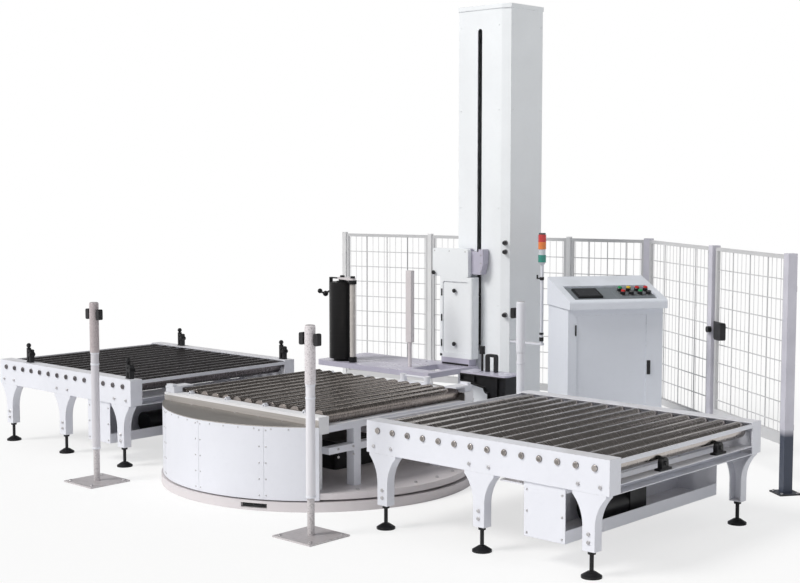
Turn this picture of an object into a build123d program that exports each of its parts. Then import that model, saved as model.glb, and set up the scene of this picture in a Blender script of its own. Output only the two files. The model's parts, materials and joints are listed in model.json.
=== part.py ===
from build123d import *
import math
import os

# Pallet wrapper: a turntable with a roller deck between an infeed and an outfeed roller conveyor.
# A mast carries the film carriage behind the turntable, beside a control console and a mesh fence.
# Frame in millimetres: origin on the floor at the turntable's centre, +X along the line of travel,
# +Y towards the mast and the fence, +Z up.

# Clearances
RUNNING_GAP = 0.3
MOVING_CLEARANCE = 5.0

# Conveyors
CONVEYOR_LENGTH = 1360.0
CONVEYOR_HALF_WIDTH = 622.0
CONVEYOR_TOP = 504.0
INFEED_GAP = 25.0
OUTFEED_GAP = 120.0
RAIL_HEIGHT = 150.0
RAIL_FLANGE = 80.0
RAIL_WALL = 5.0
ROLLER_COUNT = 14
ROLLER_END_INSET = 72.25
ROLLER_RADIUS = 38.0
ROLLER_DROP = 4.0
AXLE_RADIUS = 8.0
AXLE_HOLE_RADIUS = 8.3
AXLE_NUT_RADIUS = 13.0
AXLE_NUT_WIDTH = 7.0
CROSS_TUBE_WIDTH = 60.0
CROSS_TUBE_HEIGHT = 40.0
CROSS_TUBE_WALL = 4.0
END_BAR_THICKNESS = 8.0
END_BAR_HEIGHT = 18.0
END_BAR_DROP = 8.0

# Conveyor legs and feet
LEG_SPACING = 580.0
LEG_TOP_WIDTH = 165.0
LEG_WIDTH = 62.0
LEG_DEPTH = 50.0
LEG_WALL = 5.0
LEG_SHOULDER = 12.0
LEG_TAPER_HEIGHT = 120.0
LEG_BOTTOM = 112.0
FOOT_RADIUS = 44.0
FOOT_HEIGHT = 26.0
FOOT_STUD_RADIUS = 9.0
FOOT_NUT_RADIUS = 17.0
FOOT_NUT_HEIGHT = 14.0

# Drive covers that hang under the conveyors
DRIVE_COVER_WIDTH = 215.0
DRIVE_COVER_BOTTOM = 118.0
DRIVE_COVER_WALL = 4.0
DRIVE_COVER_LIP = 55.0
DRIVE_COVER_HEADER = 24.0
DRIVE_COVER_CLEARANCE = 8.0
INFEED_COVER_CENTRE = -1195.0
OUTFEED_COVER_CENTRE = 2000.0
MOTOR_RADIUS = 62.0
MOTOR_LENGTH = 230.0
GEARBOX_SIZE = 130.0

# Photo sensors on the infeed rails
SENSOR_BRACKET_WIDTH = 46.0
SENSOR_BRACKET_HEIGHT = 118.0
SENSOR_BRACKET_DEPTH = 30.0
SENSOR_BRACKET_WALL = 4.0
SENSOR_HEAD_RADIUS = 15.0
SENSOR_HEAD_LENGTH = 44.0
SENSOR_HEAD_HEIGHT = 71.0
SENSOR_INSET_LEFT = 280.0
SENSOR_INSET_RIGHT = 60.0

# Turntable
RING_RADIUS = 860.0
RING_HEIGHT = 48.0
RING_WIDTH = 60.0
BASE_PLATE_THICKNESS = 12.0
HUB_RADIUS = 210.0
RING_SLOT_LENGTH = 140.0
RING_SLOT_HEIGHT = 24.0
RING_SLOT_DEPTH = 20.0
RING_SLOT_ANGLE = -66.0
BEARING_RADIUS = 165.0
PLATFORM_BOTTOM = 58.0
PLATFORM_THICKNESS = 32.0
SKIRT_RADIUS = 850.0
SKIRT_WALL = 4.0
SKIRT_TOP = 418.0
COVER_THICKNESS = 4.0
DECK_HALF_WIDTH = 588.0
DECK_CORNER_GAP = 3.8
DECK_TOP = 466.0
DECK_RAIL_HEIGHT = 86.0
DECK_RAIL_WIDTH = 70.0
DECK_RAIL_WALL = 5.0
DECK_ROLLER_COUNT = 13
DECK_ROLLER_INSET = 76.0
DECK_ROLLER_RADIUS = 36.0
DECK_ROLLER_RISE = 20.0
DECK_POST_SIZE = 50.0
DECK_POST_OFFSET = 320.0
DECK_BAR_HEIGHT = 34.0
DECK_UPPER_BAR = 384.0
DECK_LOWER_BAR = 272.0
DECK_DRIVE_WIDTH = 300.0
DECK_DRIVE_LENGTH = 560.0
DECK_DRIVE_HEIGHT = 150.0

# Film clamp on the far edge of the deck
CLAMP_CENTRE_X = 200.0
CLAMP_LENGTH = 220.0
CLAMP_WIDTH = 46.0
CLAMP_KNOB_RADIUS = 19.0
CLAMP_KNOB_HEIGHT = 50.0
CLAMP_ROD_RADIUS = 6.0

# Mast
MAST_X = 8.0
MAST_WIDTH = 396.0
MAST_DEPTH = 332.0
MAST_FRONT = 1400.0
MAST_TOP = 2660.0
MAST_WALL = 5.0
MAST_FOLD = 57.0
MAST_FOLD_DEPTH = 20.0
MAST_BASE_MARGIN = 60.0
MAST_BASE_THICKNESS = 16.0
MAST_ANCHOR_RADIUS = 9.0
MAST_ANCHOR_INSET = 28.0
MAST_CAP_HEIGHT = 26.0
MAST_CAP_LIP = 4.0
SLOT_OFFSET = -30.0
SLOT_WIDTH = 34.0
SLOT_BOTTOM = 560.0
SLOT_TOP_MARGIN = 115.0
GUIDE_WIDTH = 70.0
GUIDE_DEPTH = 60.0
GUIDE_SETBACK = 60.0
MAST_BUTTON_RADIUS = 12.0
MAST_BUTTON_LEVELS = (1239.0, 1184.0, 796.0)
MAST_SIDE_BUTTON_INSET = 25.0

# Film carriage
SLIDER_WIDTH = 110.0
SLIDER_DEPTH = 30.0
SLIDER_HEIGHT = 300.0
SLIDER_BOTTOM = 600.0
ARM_WIDTH = 22.0
HOUSING_WIDTH = 269.0
HOUSING_REACH = 19.0
HOUSING_FRONT = 1310.0
HOUSING_DEPTH = 65.0
HOUSING_BOTTOM = 512.0
HOUSING_TOP = 1020.0
HOUSING_CORNER = 14.0
HOUSING_DOOR_MARGIN = 30.0
HOUSING_DOOR_RECESS = 6.0
HEAD_BOX_OVERHANG = 54.0
HEAD_BOX_INSET = 33.0
HEAD_BOX_DEPTH = 30.0
HEAD_BOX_TOP = 1196.0
HEAD_BLOCK_WIDTH = 160.0
HEAD_BLOCK_FOOT = 120.0
HEAD_BLOCK_BOTTOM = 1040.0
HEAD_BLOCK_TOP = 1180.0
HEAD_BLOCK_CLEARANCE = 6.0
HEAD_EAR_WIDTH = 36.0
HEAD_EAR_HEIGHT = 16.0
SHELF_LEFT = -975.0
SHELF_FRONT = 905.0
SHELF_TOP = 468.0
SHELF_THICKNESS = 32.0
SHELF_CORNER = 40.0
SHELF_NECK_INSET = 20.0
SHELF_WINDOW_MARGIN = 110.0
ROLL_X = -825.0
ROLL_Y = 1000.0
ROLL_RADIUS = 85.0
ROLL_HEIGHT = 500.0
ROLL_SEAT = 10.0
ROLL_CORE_RADIUS = 38.0
ROLL_CORE_STEP = 6.0
ROLL_FLANGE_MARGIN = 20.0
SPINDLE_RADIUS = 24.0
SPINDLE_RISE = 12.0
STRETCH_ROLLER_X = -692.0
STRETCH_ROLLER_Y = 960.0
STRETCH_ROLLER_RADIUS = 19.0
STRETCH_ROLLER_HEIGHT = 460.0
STRETCH_ROLLER_FOOT = 36.0
LINK_THICKNESS = 12.0
LINK_MARGIN = 8.0
FILM_POST_X = -284.0
FILM_POST_Y = 1050.0
FILM_POST_WIDTH = 44.0
FILM_POST_DEPTH = 30.0
FILM_POST_BOTTOM = 622.0
FILM_POST_TOP = 1066.0
FILM_POST_WALL = 4.0
FILM_POST_STEM = 12.0

# Console, with its front square to the side fence
CONSOLE_CORNER = (899.0, 1070.0)
CONSOLE_WIDTH = 568.0
CONSOLE_DEPTH = 340.0
CONSOLE_HEIGHT = 900.0
CONSOLE_PLINTH = 60.0
CONSOLE_PLINTH_SETBACK = 20.0
CONSOLE_DOOR_LEFT = 52.0
CONSOLE_DOOR_RIGHT = 468.0
CONSOLE_DOOR_MARGIN = 36.0
CONSOLE_DOOR_RECESS = 4.0
DESK_OVERHANG = 45.0
DESK_SIDE_OVERHANG = 8.0
DESK_LIP_HEIGHT = 56.0
DESK_LIP_RADIUS = 22.0
DESK_RISE = 160.0
DESK_CHEEK = 40.0
DESK_PANEL_DEPTH = 215.0
DESK_PANEL_RECESS = 12.0
DISPLAY_WIDTH = 145.0
DISPLAY_DEPTH = 130.0
DISPLAY_THICKNESS = 14.0
DISPLAY_LEFT = 68.0
BUTTON_RADIUS = 14.0
BUTTON_HEIGHT = 26.0
BUTTON_LEFT = 345.0
BUTTON_PITCH = 52.0
BUTTON_ROW_COUNT = 4

# Signal tower
TOWER_X = 435.0
TOWER_Y = 1440.0
TOWER_POLE_RADIUS = 9.0
TOWER_POLE_BOTTOM = 640.0
TOWER_CUP_HEIGHT = 20.0
TOWER_LAMP_BOTTOM = 1130.0
TOWER_LAMP_RADIUS = 24.0
TOWER_LAMP_HEIGHT = 44.0
TOWER_SPACER_RADIUS = 21.0
TOWER_SPACER_HEIGHT = 34.0
TOWER_CAP_HEIGHT = 10.0
TOWER_BRACKET_HEIGHT = 12.0
TOWER_BRACKET_WIDTH = 32.0

# Light barrier posts
BARRIER_NEAR_Y = -937.0
BARRIER_FAR_Y = 640.0
BARRIER_LEFT_X = -755.0
BARRIER_RIGHT_X = 921.0
BARRIER_FAR_RIGHT_X = 897.0
BARRIER_HEIGHT = 973.0
BARRIER_HEAD_RADIUS = 25.0
BARRIER_HEAD_BOTTOM = 705.0
BARRIER_TUBE_RADIUS = 21.5
BARRIER_TUBE_BOTTOM = 180.0
BARRIER_STEM_RADIUS = 17.0
BARRIER_SHOULDER = 12.0
BARRIER_ROUNDING = 9.0
BARRIER_PLATE = 150.0
BARRIER_NEAR_PLATE = 250.0
BARRIER_PLATE_THICKNESS = 8.0
LENS_HEIGHT = 56.0
LENS_WIDTH = 26.0
LENS_CORNER = 8.0
LENS_REACH = 35.0
LENS_DROP = 65.0
LENS_ARM_RADIUS = 5.0

# Mesh fence
FENCE_LEFT = (-1612.0, 1809.0)
FENCE_CORNER = (591.0, 2366.0)
FENCE_END = (2100.0, 1333.0)
FENCE_TOP = 1248.0
FENCE_PANEL_BOTTOM = 210.0
FENCE_BACK_BAYS = (694.0, 1033.0)
FENCE_DOOR_WIDTH = 878.0
FENCE_DOOR_BOTTOM = 250.0
FENCE_DOOR_RAIL = 60.0
FENCE_POST = 50.0
FENCE_BACK_POST = 30.0
FENCE_PLATE = 120.0
FENCE_PLATE_THICKNESS = 8.0
FENCE_TUBE = 20.0
FENCE_RAIL_HEIGHT = 40.0
FENCE_WIRE = 5.0
FENCE_WIRE_PITCH = 107.0
FENCE_STAY_COUNT = 3
CORNER_SHARE = 0.72
DOOR_GAP = 12.0
HINGE_RADIUS = 10.0
HINGE_PIN_RADIUS = 5.0
HINGE_HEIGHT = 60.0
HINGE_TAB = 6.0
HINGE_LEVELS = (360.0, 1080.0)
HANDLE_PLATE = 6.0
HANDLE_STRAP = 62.0
HANDLE_WIDTH = 82.0
HANDLE_HEIGHT = 98.0
HANDLE_DEPTH = 34.0
HANDLE_CENTRE = 766.0
HANDLE_CORNER = 12.0
LATCH_RADIUS = 18.0
LATCH_DEPTH = 22.0
LATCH_INSET = 15.0

# Film clamping and cutting unit behind the turntable
CUTTER_LEFT = 245.0
CUTTER_RIGHT = 585.0
CUTTER_FRONT = 905.0
CUTTER_DEPTH = 140.0
CUTTER_PLATE_TOP = 508.0
CUTTER_PLATE_THICKNESS = 10.0
CUTTER_TIP_HEIGHT = 46.0
CUTTER_ROOT_HEIGHT = 75.0
CUTTER_GUSSET = 30.0
CUTTER_POST_WIDTH = 134.0
CUTTER_SHEET = 8.0
CUTTER_POCKET = 14.0
CUTTER_RIB = 12.0
CUTTER_BASE_MARGIN = 20.0
CUTTER_BASE_THICKNESS = 10.0
STIRRUP_LEFT = 372.0
STIRRUP_WIDTH = 78.0
STIRRUP_HEIGHT = 104.0
STIRRUP_WALL = 16.0
STIRRUP_DEPTH = 26.0
KNOB_X = 339.0
KNOB_RADIUS = 17.0
KNOB_HEIGHT = 46.0
KNOB_STEM_RADIUS = 7.0
KNOB_STEM_HEIGHT = 100.0

# Derived places
RAIL_BOTTOM = CONVEYOR_TOP - RAIL_HEIGHT
AXLE_Z = CONVEYOR_TOP - ROLLER_DROP - ROLLER_RADIUS
ROLLER_PITCH = (CONVEYOR_LENGTH - 2 * ROLLER_END_INSET) / (ROLLER_COUNT - 1)
ROLLER_HALF = CONVEYOR_HALF_WIDTH - RAIL_FLANGE - MOVING_CLEARANCE
INFEED_CENTRE = -(SKIRT_RADIUS + INFEED_GAP + CONVEYOR_LENGTH / 2)
OUTFEED_CENTRE = SKIRT_RADIUS + OUTFEED_GAP + CONVEYOR_LENGTH / 2
PLATFORM_TOP = PLATFORM_BOTTOM + PLATFORM_THICKNESS
PLATFORM_RADIUS = SKIRT_RADIUS - SKIRT_WALL
DECK_HALF_LENGTH = math.sqrt(SKIRT_RADIUS**2 - DECK_HALF_WIDTH**2) - DECK_CORNER_GAP
DECK_ROLLER_PITCH = 2 * (DECK_HALF_LENGTH - DECK_ROLLER_INSET) / (DECK_ROLLER_COUNT - 1)
DECK_RAIL_BOTTOM = DECK_TOP - DECK_RAIL_HEIGHT
DECK_AXLE_Z = DECK_TOP + DECK_ROLLER_RISE - DECK_ROLLER_RADIUS
MAST_BACK = MAST_FRONT + MAST_DEPTH
MAST_RIGHT = MAST_X + MAST_WIDTH / 2
SLOT_CENTRE_X = MAST_X + SLOT_OFFSET
SLOT_TOP = MAST_TOP - SLOT_TOP_MARGIN
GUIDE_FRONT = MAST_FRONT + GUIDE_SETBACK
HOUSING_RIGHT = SLOT_CENTRE_X + HOUSING_REACH
HOUSING_LEFT = HOUSING_RIGHT - HOUSING_WIDTH
HOUSING_BACK = HOUSING_FRONT + HOUSING_DEPTH
ROLL_BOTTOM = SHELF_TOP + ROLL_SEAT
SPINDLE_TOP = ROLL_BOTTOM + ROLL_HEIGHT + SPINDLE_RISE


def save(name, solids):
    """Write one sub-part, a solid or several that do not touch, under its name."""
    shape = solids[0] if len(solids) == 1 else Compound(children=solids)
    shape.label = name
    export_step(shape, os.path.join("parts", name + ".step"))


def block(x0, x1, y0, y1, z0, z1):
    """A box between two corners."""
    size = Box(x1 - x0, y1 - y0, z1 - z0)
    return Pos((x0 + x1) / 2, (y0 + y1) / 2, (z0 + z1) / 2) * size


def rod(radius, height, x, y, z):
    """An upright cylinder that stands on the given point."""
    return Pos(x, y, z + height / 2) * Cylinder(radius, height)


def turned(points):
    """A solid of revolution about Z from (radius, height) points."""
    profile = make_face(Polyline(*[(r, 0, z) for r, z in points], close=True))
    return revolve(profile, Axis.Z)


def mirrored(shape):
    """The same shape on the other side of the line's centre plane."""
    return mirror(shape, Plane.XZ)


def along(start, end):
    """The frame of a fence line: X along it, Y towards its far side."""
    angle = math.degrees(math.atan2(end[1] - start[1], end[0] - start[0]))
    return Pos(start[0], start[1], 0) * Rot(0, 0, angle)


def rail(centre_x):
    """Near side channel of a conveyor, web outside and ends closed, with a row of axle holes."""
    half = CONVEYOR_LENGTH / 2
    outer = block(-half, half, 0, RAIL_FLANGE, RAIL_BOTTOM, CONVEYOR_TOP)
    hollow = block(
        RAIL_WALL - half,
        half - RAIL_WALL,
        RAIL_WALL,
        RAIL_FLANGE + RAIL_WALL,
        RAIL_BOTTOM + RAIL_WALL,
        CONVEYOR_TOP - RAIL_WALL,
    )
    channel = outer - hollow
    hole = Rot(90, 0, 0) * Cylinder(AXLE_HOLE_RADIUS, 3 * RAIL_WALL)
    for x in roller_places():
        channel -= Pos(x, RAIL_WALL / 2, AXLE_Z) * hole
    return Pos(centre_x, -CONVEYOR_HALF_WIDTH, 0) * channel


def roller_places():
    """Roller positions along a conveyor, from its centre."""
    first = -(ROLLER_COUNT - 1) / 2 * ROLLER_PITCH
    return [first + i * ROLLER_PITCH for i in range(ROLLER_COUNT)]


def conveyor_roller():
    """Roller tube on its through axle, with a nut against each rail, lying along Y."""
    end = CONVEYOR_HALF_WIDTH
    half = [
        (0, 0),
        (ROLLER_RADIUS, 0),
        (ROLLER_RADIUS, ROLLER_HALF),
        (AXLE_RADIUS, ROLLER_HALF),
        (AXLE_RADIUS, end),
        (AXLE_NUT_RADIUS, end),
        (AXLE_NUT_RADIUS, end + AXLE_NUT_WIDTH),
        (0, end + AXLE_NUT_WIDTH),
    ]
    upper = turned(half)
    whole = upper + mirror(upper, Plane.XY)
    return Rot(90, 0, 0) * whole


def middle_tube(centre_x):
    """Square tube that ties the two rails together under the rollers."""
    half = CONVEYOR_HALF_WIDTH - RAIL_WALL
    left = centre_x - CROSS_TUBE_WIDTH / 2
    right = centre_x + CROSS_TUBE_WIDTH / 2
    low = RAIL_BOTTOM + RAIL_WALL
    top = low + CROSS_TUBE_HEIGHT
    wall = CROSS_TUBE_WALL
    bore = block(left + wall, right - wall, -half - 1, half + 1, low + wall, top - wall)
    return block(left, right, -half, half, low, top) - bore


def end_members(centre_x, side):
    """Channel and flat bar between the rails at one end, both flush with the rails' closed ends."""
    half = CONVEYOR_HALF_WIDTH - RAIL_FLANGE
    face = CONVEYOR_LENGTH / 2
    wall = CROSS_TUBE_WALL
    low = RAIL_BOTTOM
    top = low + CROSS_TUBE_HEIGHT
    channel = block(face - CROSS_TUBE_WIDTH, face, -half, half, low, top)
    channel -= block(face - CROSS_TUBE_WIDTH + wall, face + 1, -half - 1, half + 1, low + wall, top - wall)
    bar_top = CONVEYOR_TOP - END_BAR_DROP
    bar = block(face - END_BAR_THICKNESS, face, -half, half, bar_top - END_BAR_HEIGHT, bar_top)
    turn = Pos(centre_x, 0, 0) * Rot(0, 0, 0 if side > 0 else 180)
    return [turn * channel, turn * bar]


def cross_members(centre_x):
    """What ties the two rails together: a tube in the middle, a channel and a bar at each end."""
    return [middle_tube(centre_x)] + end_members(centre_x, -1) + end_members(centre_x, 1)


def leg_outline():
    """Face of a leg: wide under the rail, narrowing by an arc on each side to a straight shank."""
    top = LEG_TOP_WIDTH / 2
    low = LEG_WIDTH / 2
    shoulder = RAIL_BOTTOM - LEG_SHOULDER
    knee = shoulder - LEG_TAPER_HEIGHT
    bend = ((top + low) / 2 - (top - low) / 6, (shoulder + knee) / 2 + LEG_TAPER_HEIGHT / 12)
    right = [
        Line((low, LEG_BOTTOM), (low, knee)),
        ThreePointArc((low, knee), bend, (top, shoulder)),
        Line((top, shoulder), (top, RAIL_BOTTOM)),
    ]
    left = [mirror(edge, Plane.YZ) for edge in right]
    closing = [Line((top, RAIL_BOTTOM), (-top, RAIL_BOTTOM)), Line((-low, LEG_BOTTOM), (low, LEG_BOTTOM))]
    return make_face(Curve() + right + left + closing)


def leg():
    """Folded sheet leg, open towards the inside of the conveyor."""
    face = Plane.XZ * leg_outline()
    inner = Plane.XZ * offset(leg_outline(), amount=-LEG_WALL)
    body = extrude(face, amount=-LEG_DEPTH)
    hollow = Pos(0, LEG_WALL, 0) * extrude(inner, amount=-LEG_DEPTH)
    return body - hollow


def foot():
    """Levelling foot: a pad, its stud and the lock nut under the leg."""
    return turned(
        [
            (0, 0),
            (FOOT_RADIUS, 0),
            (FOOT_RADIUS, FOOT_HEIGHT / 3),
            (FOOT_STUD_RADIUS + 8, FOOT_HEIGHT),
            (FOOT_STUD_RADIUS, FOOT_HEIGHT),
            (FOOT_STUD_RADIUS, LEG_BOTTOM - FOOT_NUT_HEIGHT),
            (FOOT_NUT_RADIUS, LEG_BOTTOM - FOOT_NUT_HEIGHT),
            (FOOT_NUT_RADIUS, LEG_BOTTOM),
            (0, LEG_BOTTOM),
        ]
    )


def leg_places(centre_x):
    """Where the six legs of a conveyor stand: three under each rail."""
    places = []
    for i in (-1, 0, 1):
        for side in (-1, 1):
            places.append((centre_x + i * LEG_SPACING, side))
    return places


def legs(centre_x):
    """The six legs, with their open side inwards."""
    near = Pos(0, -CONVEYOR_HALF_WIDTH, 0) * leg()
    far = mirrored(near)
    return [Pos(x, 0, 0) * (near if side < 0 else far) for x, side in leg_places(centre_x)]


def feet(centre_x):
    """The six levelling feet, each under the middle of its leg."""
    inset = CONVEYOR_HALF_WIDTH - LEG_DEPTH / 2
    return [Pos(x, side * inset, 0) * foot() for x, side in leg_places(centre_x)]


def drive_cover(centre_x):
    """Sheet metal tray across the conveyor, open above, with an open window above a lip downstream."""
    half = CONVEYOR_HALF_WIDTH - DRIVE_COVER_CLEARANCE
    left = centre_x - DRIVE_COVER_WIDTH / 2
    right = centre_x + DRIVE_COVER_WIDTH / 2
    wall = DRIVE_COVER_WALL
    box = block(left, right, -half, half, DRIVE_COVER_BOTTOM, RAIL_BOTTOM)
    hollow = block(
        left + wall, right - wall, -half + wall, half - wall, DRIVE_COVER_BOTTOM + wall, RAIL_BOTTOM + wall
    )
    window = block(
        right - 2 * wall,
        right + wall,
        -half + wall,
        half - wall,
        DRIVE_COVER_BOTTOM + DRIVE_COVER_LIP,
        RAIL_BOTTOM - DRIVE_COVER_HEADER,
    )
    return box - hollow - window


def drive_motor(centre_x):
    """Geared motor lying across the tray, on its floor."""
    floor = DRIVE_COVER_BOTTOM + DRIVE_COVER_WALL
    centre_z = floor + GEARBOX_SIZE / 2
    half = GEARBOX_SIZE / 2
    gearbox = block(-half, half, -half, half, floor, floor + GEARBOX_SIZE)
    gearbox = fillet(gearbox.edges().filter_by(Axis.Y), radius=half / 4)
    barrel = Pos(0, -half - MOTOR_LENGTH / 2, centre_z) * Rot(90, 0, 0) * Cylinder(MOTOR_RADIUS, MOTOR_LENGTH)
    return Pos(centre_x, 0, 0) * (gearbox + barrel)


def sensor_bracket():
    """Bent strap bracket, an upturned U on the rail, that holds a photo sensor."""
    half = SENSOR_BRACKET_WIDTH / 2
    depth = SENSOR_BRACKET_DEPTH / 2
    wall = SENSOR_BRACKET_WALL
    strap = block(-half, half, -depth, depth, 0, SENSOR_BRACKET_HEIGHT)
    strap = fillet(strap.edges().filter_by(Axis.Y).sort_by(Axis.Z)[-2:], radius=half / 2)
    opening = block(-half + wall, half - wall, -depth - 1, depth + 1, wall, SENSOR_BRACKET_HEIGHT - wall)
    opening = fillet(opening.edges().filter_by(Axis.Y).sort_by(Axis.Z)[-2:], radius=half / 2 - wall)
    head = Rot(90, 0, 0) * Cylinder(SENSOR_HEAD_RADIUS, SENSOR_HEAD_LENGTH)
    bar = Pos(0, 0, SENSOR_HEAD_HEIGHT) * Box(2 * (half - wall), 2 * wall, SENSOR_HEAD_RADIUS)
    return strap - opening + bar + Pos(0, 0, SENSOR_HEAD_HEIGHT) * head


def sensors():
    """Two sensors and two reflectors, in pairs across the infeed."""
    y = CONVEYOR_HALF_WIDTH - RAIL_FLANGE / 2
    left = INFEED_CENTRE - CONVEYOR_LENGTH / 2 + SENSOR_INSET_LEFT
    right = INFEED_CENTRE + CONVEYOR_LENGTH / 2 - SENSOR_INSET_RIGHT
    return [Pos(x, side * y, CONVEYOR_TOP) * sensor_bracket() for x in (left, right) for side in (-1, 1)]


def base_ring():
    """Fixed round base: a floor plate, a rim with an access slot near and far, and the bearing hub."""
    inner = RING_RADIUS - RING_WIDTH
    hub_top = PLATFORM_BOTTOM - RUNNING_GAP
    ring = turned(
        [
            (0, 0),
            (RING_RADIUS, 0),
            (RING_RADIUS, RING_HEIGHT),
            (inner, RING_HEIGHT),
            (inner, BASE_PLATE_THICKNESS),
            (HUB_RADIUS, BASE_PLATE_THICKNESS),
            (HUB_RADIUS, RING_HEIGHT),
            (BEARING_RADIUS, hub_top),
            (0, hub_top),
        ]
    )
    slot = Pos(RING_RADIUS, 0, RING_HEIGHT / 2) * Box(2 * RING_SLOT_DEPTH, RING_SLOT_LENGTH, RING_SLOT_HEIGHT)
    for angle in (RING_SLOT_ANGLE, RING_SLOT_ANGLE + 180):
        ring -= Rot(0, 0, angle) * slot
    return ring


def platform():
    """Round platform that turns on the hub and carries the deck and the skirts."""
    return rod(PLATFORM_RADIUS, PLATFORM_THICKNESS, 0, 0, PLATFORM_BOTTOM)


def segment(radius, chord, z0, z1):
    """Round segment of a disc, cut by the deck's side, towards the near side."""
    disc = rod(radius, z1 - z0, 0, 0, z0)
    keep = block(-radius, radius, -radius - 1, -chord, z0 - 1, z1 + 1)
    return disc & keep


def skirt():
    """Near curved skirt, from the edge of the platform up to the cover plate."""
    z0 = PLATFORM_BOTTOM - COVER_THICKNESS
    outer = segment(SKIRT_RADIUS, DECK_HALF_WIDTH, z0, SKIRT_TOP)
    return outer - rod(SKIRT_RADIUS - SKIRT_WALL, SKIRT_TOP, 0, 0, 0)


def segment_cover():
    """Flat plate that closes the top between the deck's side and the skirt."""
    return segment(SKIRT_RADIUS, DECK_HALF_WIDTH, SKIRT_TOP, SKIRT_TOP + COVER_THICKNESS)


def deck_rail():
    """Near side channel of the deck, closed at the ends, on four legs from the platform."""
    y0 = -DECK_HALF_WIDTH
    y1 = y0 + DECK_RAIL_WIDTH
    wall = DECK_RAIL_WALL
    half = DECK_HALF_LENGTH
    box = block(-half, half, y0, y1, DECK_RAIL_BOTTOM, DECK_TOP)
    hollow = block(
        -half + wall, half - wall, y0 + wall, y1 + wall, DECK_RAIL_BOTTOM + wall, DECK_TOP - wall
    )
    channel = box - hollow
    for x in (-half + DECK_POST_SIZE * 1.5, 0, half - DECK_POST_SIZE * 1.5):
        post_left = x - DECK_POST_SIZE / 2
        channel += block(
            post_left, post_left + DECK_POST_SIZE, y1 - DECK_POST_SIZE, y1, PLATFORM_TOP, DECK_RAIL_BOTTOM
        )
    return channel


def deck_roller():
    """Deck roller with its axle ends against the rails' webs, lying along Y."""
    reach = DECK_HALF_WIDTH - DECK_RAIL_WALL
    body = DECK_HALF_WIDTH - DECK_RAIL_WIDTH - MOVING_CLEARANCE
    upper = turned(
        [
            (0, 0),
            (DECK_ROLLER_RADIUS, 0),
            (DECK_ROLLER_RADIUS, body),
            (AXLE_RADIUS, body),
            (AXLE_RADIUS, reach),
            (0, reach),
        ]
    )
    whole = upper + mirror(upper, Plane.XY)
    return Rot(90, 0, 0) * whole


def deck_rollers():
    """The row of deck rollers."""
    roller = deck_roller()
    first = -(DECK_ROLLER_COUNT - 1) / 2 * DECK_ROLLER_PITCH
    return [Pos(first + i * DECK_ROLLER_PITCH, 0, DECK_AXLE_Z) * roller for i in range(DECK_ROLLER_COUNT)]


def deck_end(side):
    """End frame of the deck: two cross bars between the rails and two posts on the platform."""
    outer = side * DECK_HALF_LENGTH
    inner = side * (DECK_HALF_LENGTH - DECK_POST_SIZE)
    x0 = min(outer, inner)
    x1 = max(outer, inner)
    reach = DECK_HALF_WIDTH - DECK_RAIL_WIDTH
    frame = block(x0, x1, -reach, reach, DECK_UPPER_BAR, DECK_UPPER_BAR + DECK_BAR_HEIGHT)
    frame += block(x0, x1, -reach, reach, DECK_LOWER_BAR, DECK_LOWER_BAR + DECK_BAR_HEIGHT)
    post_top = DECK_UPPER_BAR + DECK_BAR_HEIGHT / 2
    for post_side in (-1, 1):
        y = post_side * DECK_POST_OFFSET
        frame += block(x0, x1, y - DECK_POST_SIZE / 2, y + DECK_POST_SIZE / 2, PLATFORM_TOP, post_top)
    return frame


def deck_drive():
    """Closed housing of the deck's roller drive, on the platform between the end frames."""
    housing = block(
        -DECK_DRIVE_LENGTH / 2,
        DECK_DRIVE_LENGTH / 2,
        -DECK_DRIVE_WIDTH / 2,
        DECK_DRIVE_WIDTH / 2,
        PLATFORM_TOP,
        PLATFORM_TOP + DECK_DRIVE_HEIGHT,
    )
    return fillet(housing.edges().filter_by(Axis.Z), radius=20)


def film_clamp():
    """Film clamp on the far deck rail: a base bar, two knobs and the clamping rod above it."""
    y = DECK_HALF_WIDTH - CLAMP_WIDTH / 2
    low = DECK_TOP
    left = CLAMP_CENTRE_X - CLAMP_LENGTH / 2
    right = CLAMP_CENTRE_X + CLAMP_LENGTH / 2
    base = block(left, right, y - CLAMP_WIDTH / 2, y + CLAMP_WIDTH / 2, low, low + CLAMP_ROD_RADIUS * 2)
    for x in (left + CLAMP_KNOB_RADIUS, right - CLAMP_KNOB_RADIUS):
        base += rod(CLAMP_KNOB_RADIUS, CLAMP_KNOB_HEIGHT, x, y, low)
    bar_z = low + CLAMP_KNOB_HEIGHT - CLAMP_ROD_RADIUS * 1.5
    bar = Rot(0, 90, 0) * Cylinder(CLAMP_ROD_RADIUS, CLAMP_LENGTH - CLAMP_KNOB_RADIUS)
    return base + Pos(CLAMP_CENTRE_X, y, bar_z) * bar


def mast_outline(inset):
    """Plan of the mast: a box with a chamfered fold down its right front edge."""
    left = MAST_X - MAST_WIDTH / 2 + inset
    right = MAST_RIGHT - inset
    front = MAST_FRONT + inset
    back = MAST_BACK - inset
    return make_face(
        Polyline(
            (left, front),
            (right - MAST_FOLD, front),
            (right, front + MAST_FOLD_DEPTH),
            (right, back),
            (left, back),
            close=True,
        )
    )


def mast_column():
    """Folded mast column with the carriage slot down its front."""
    height = MAST_TOP - MAST_BASE_THICKNESS
    tube = extrude(mast_outline(0), height) - extrude(mast_outline(MAST_WALL), height)
    tube = Pos(0, 0, MAST_BASE_THICKNESS) * tube
    half = SLOT_WIDTH / 2
    left = SLOT_CENTRE_X - half
    right = SLOT_CENTRE_X + half
    slot = block(left, right, MAST_FRONT - 1, MAST_FRONT + MAST_WALL + 1, SLOT_BOTTOM, SLOT_TOP - half)
    slot += Pos(SLOT_CENTRE_X, MAST_FRONT, SLOT_TOP - half) * Rot(90, 0, 0) * Cylinder(half, 3 * MAST_WALL)
    return tube - slot


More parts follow.
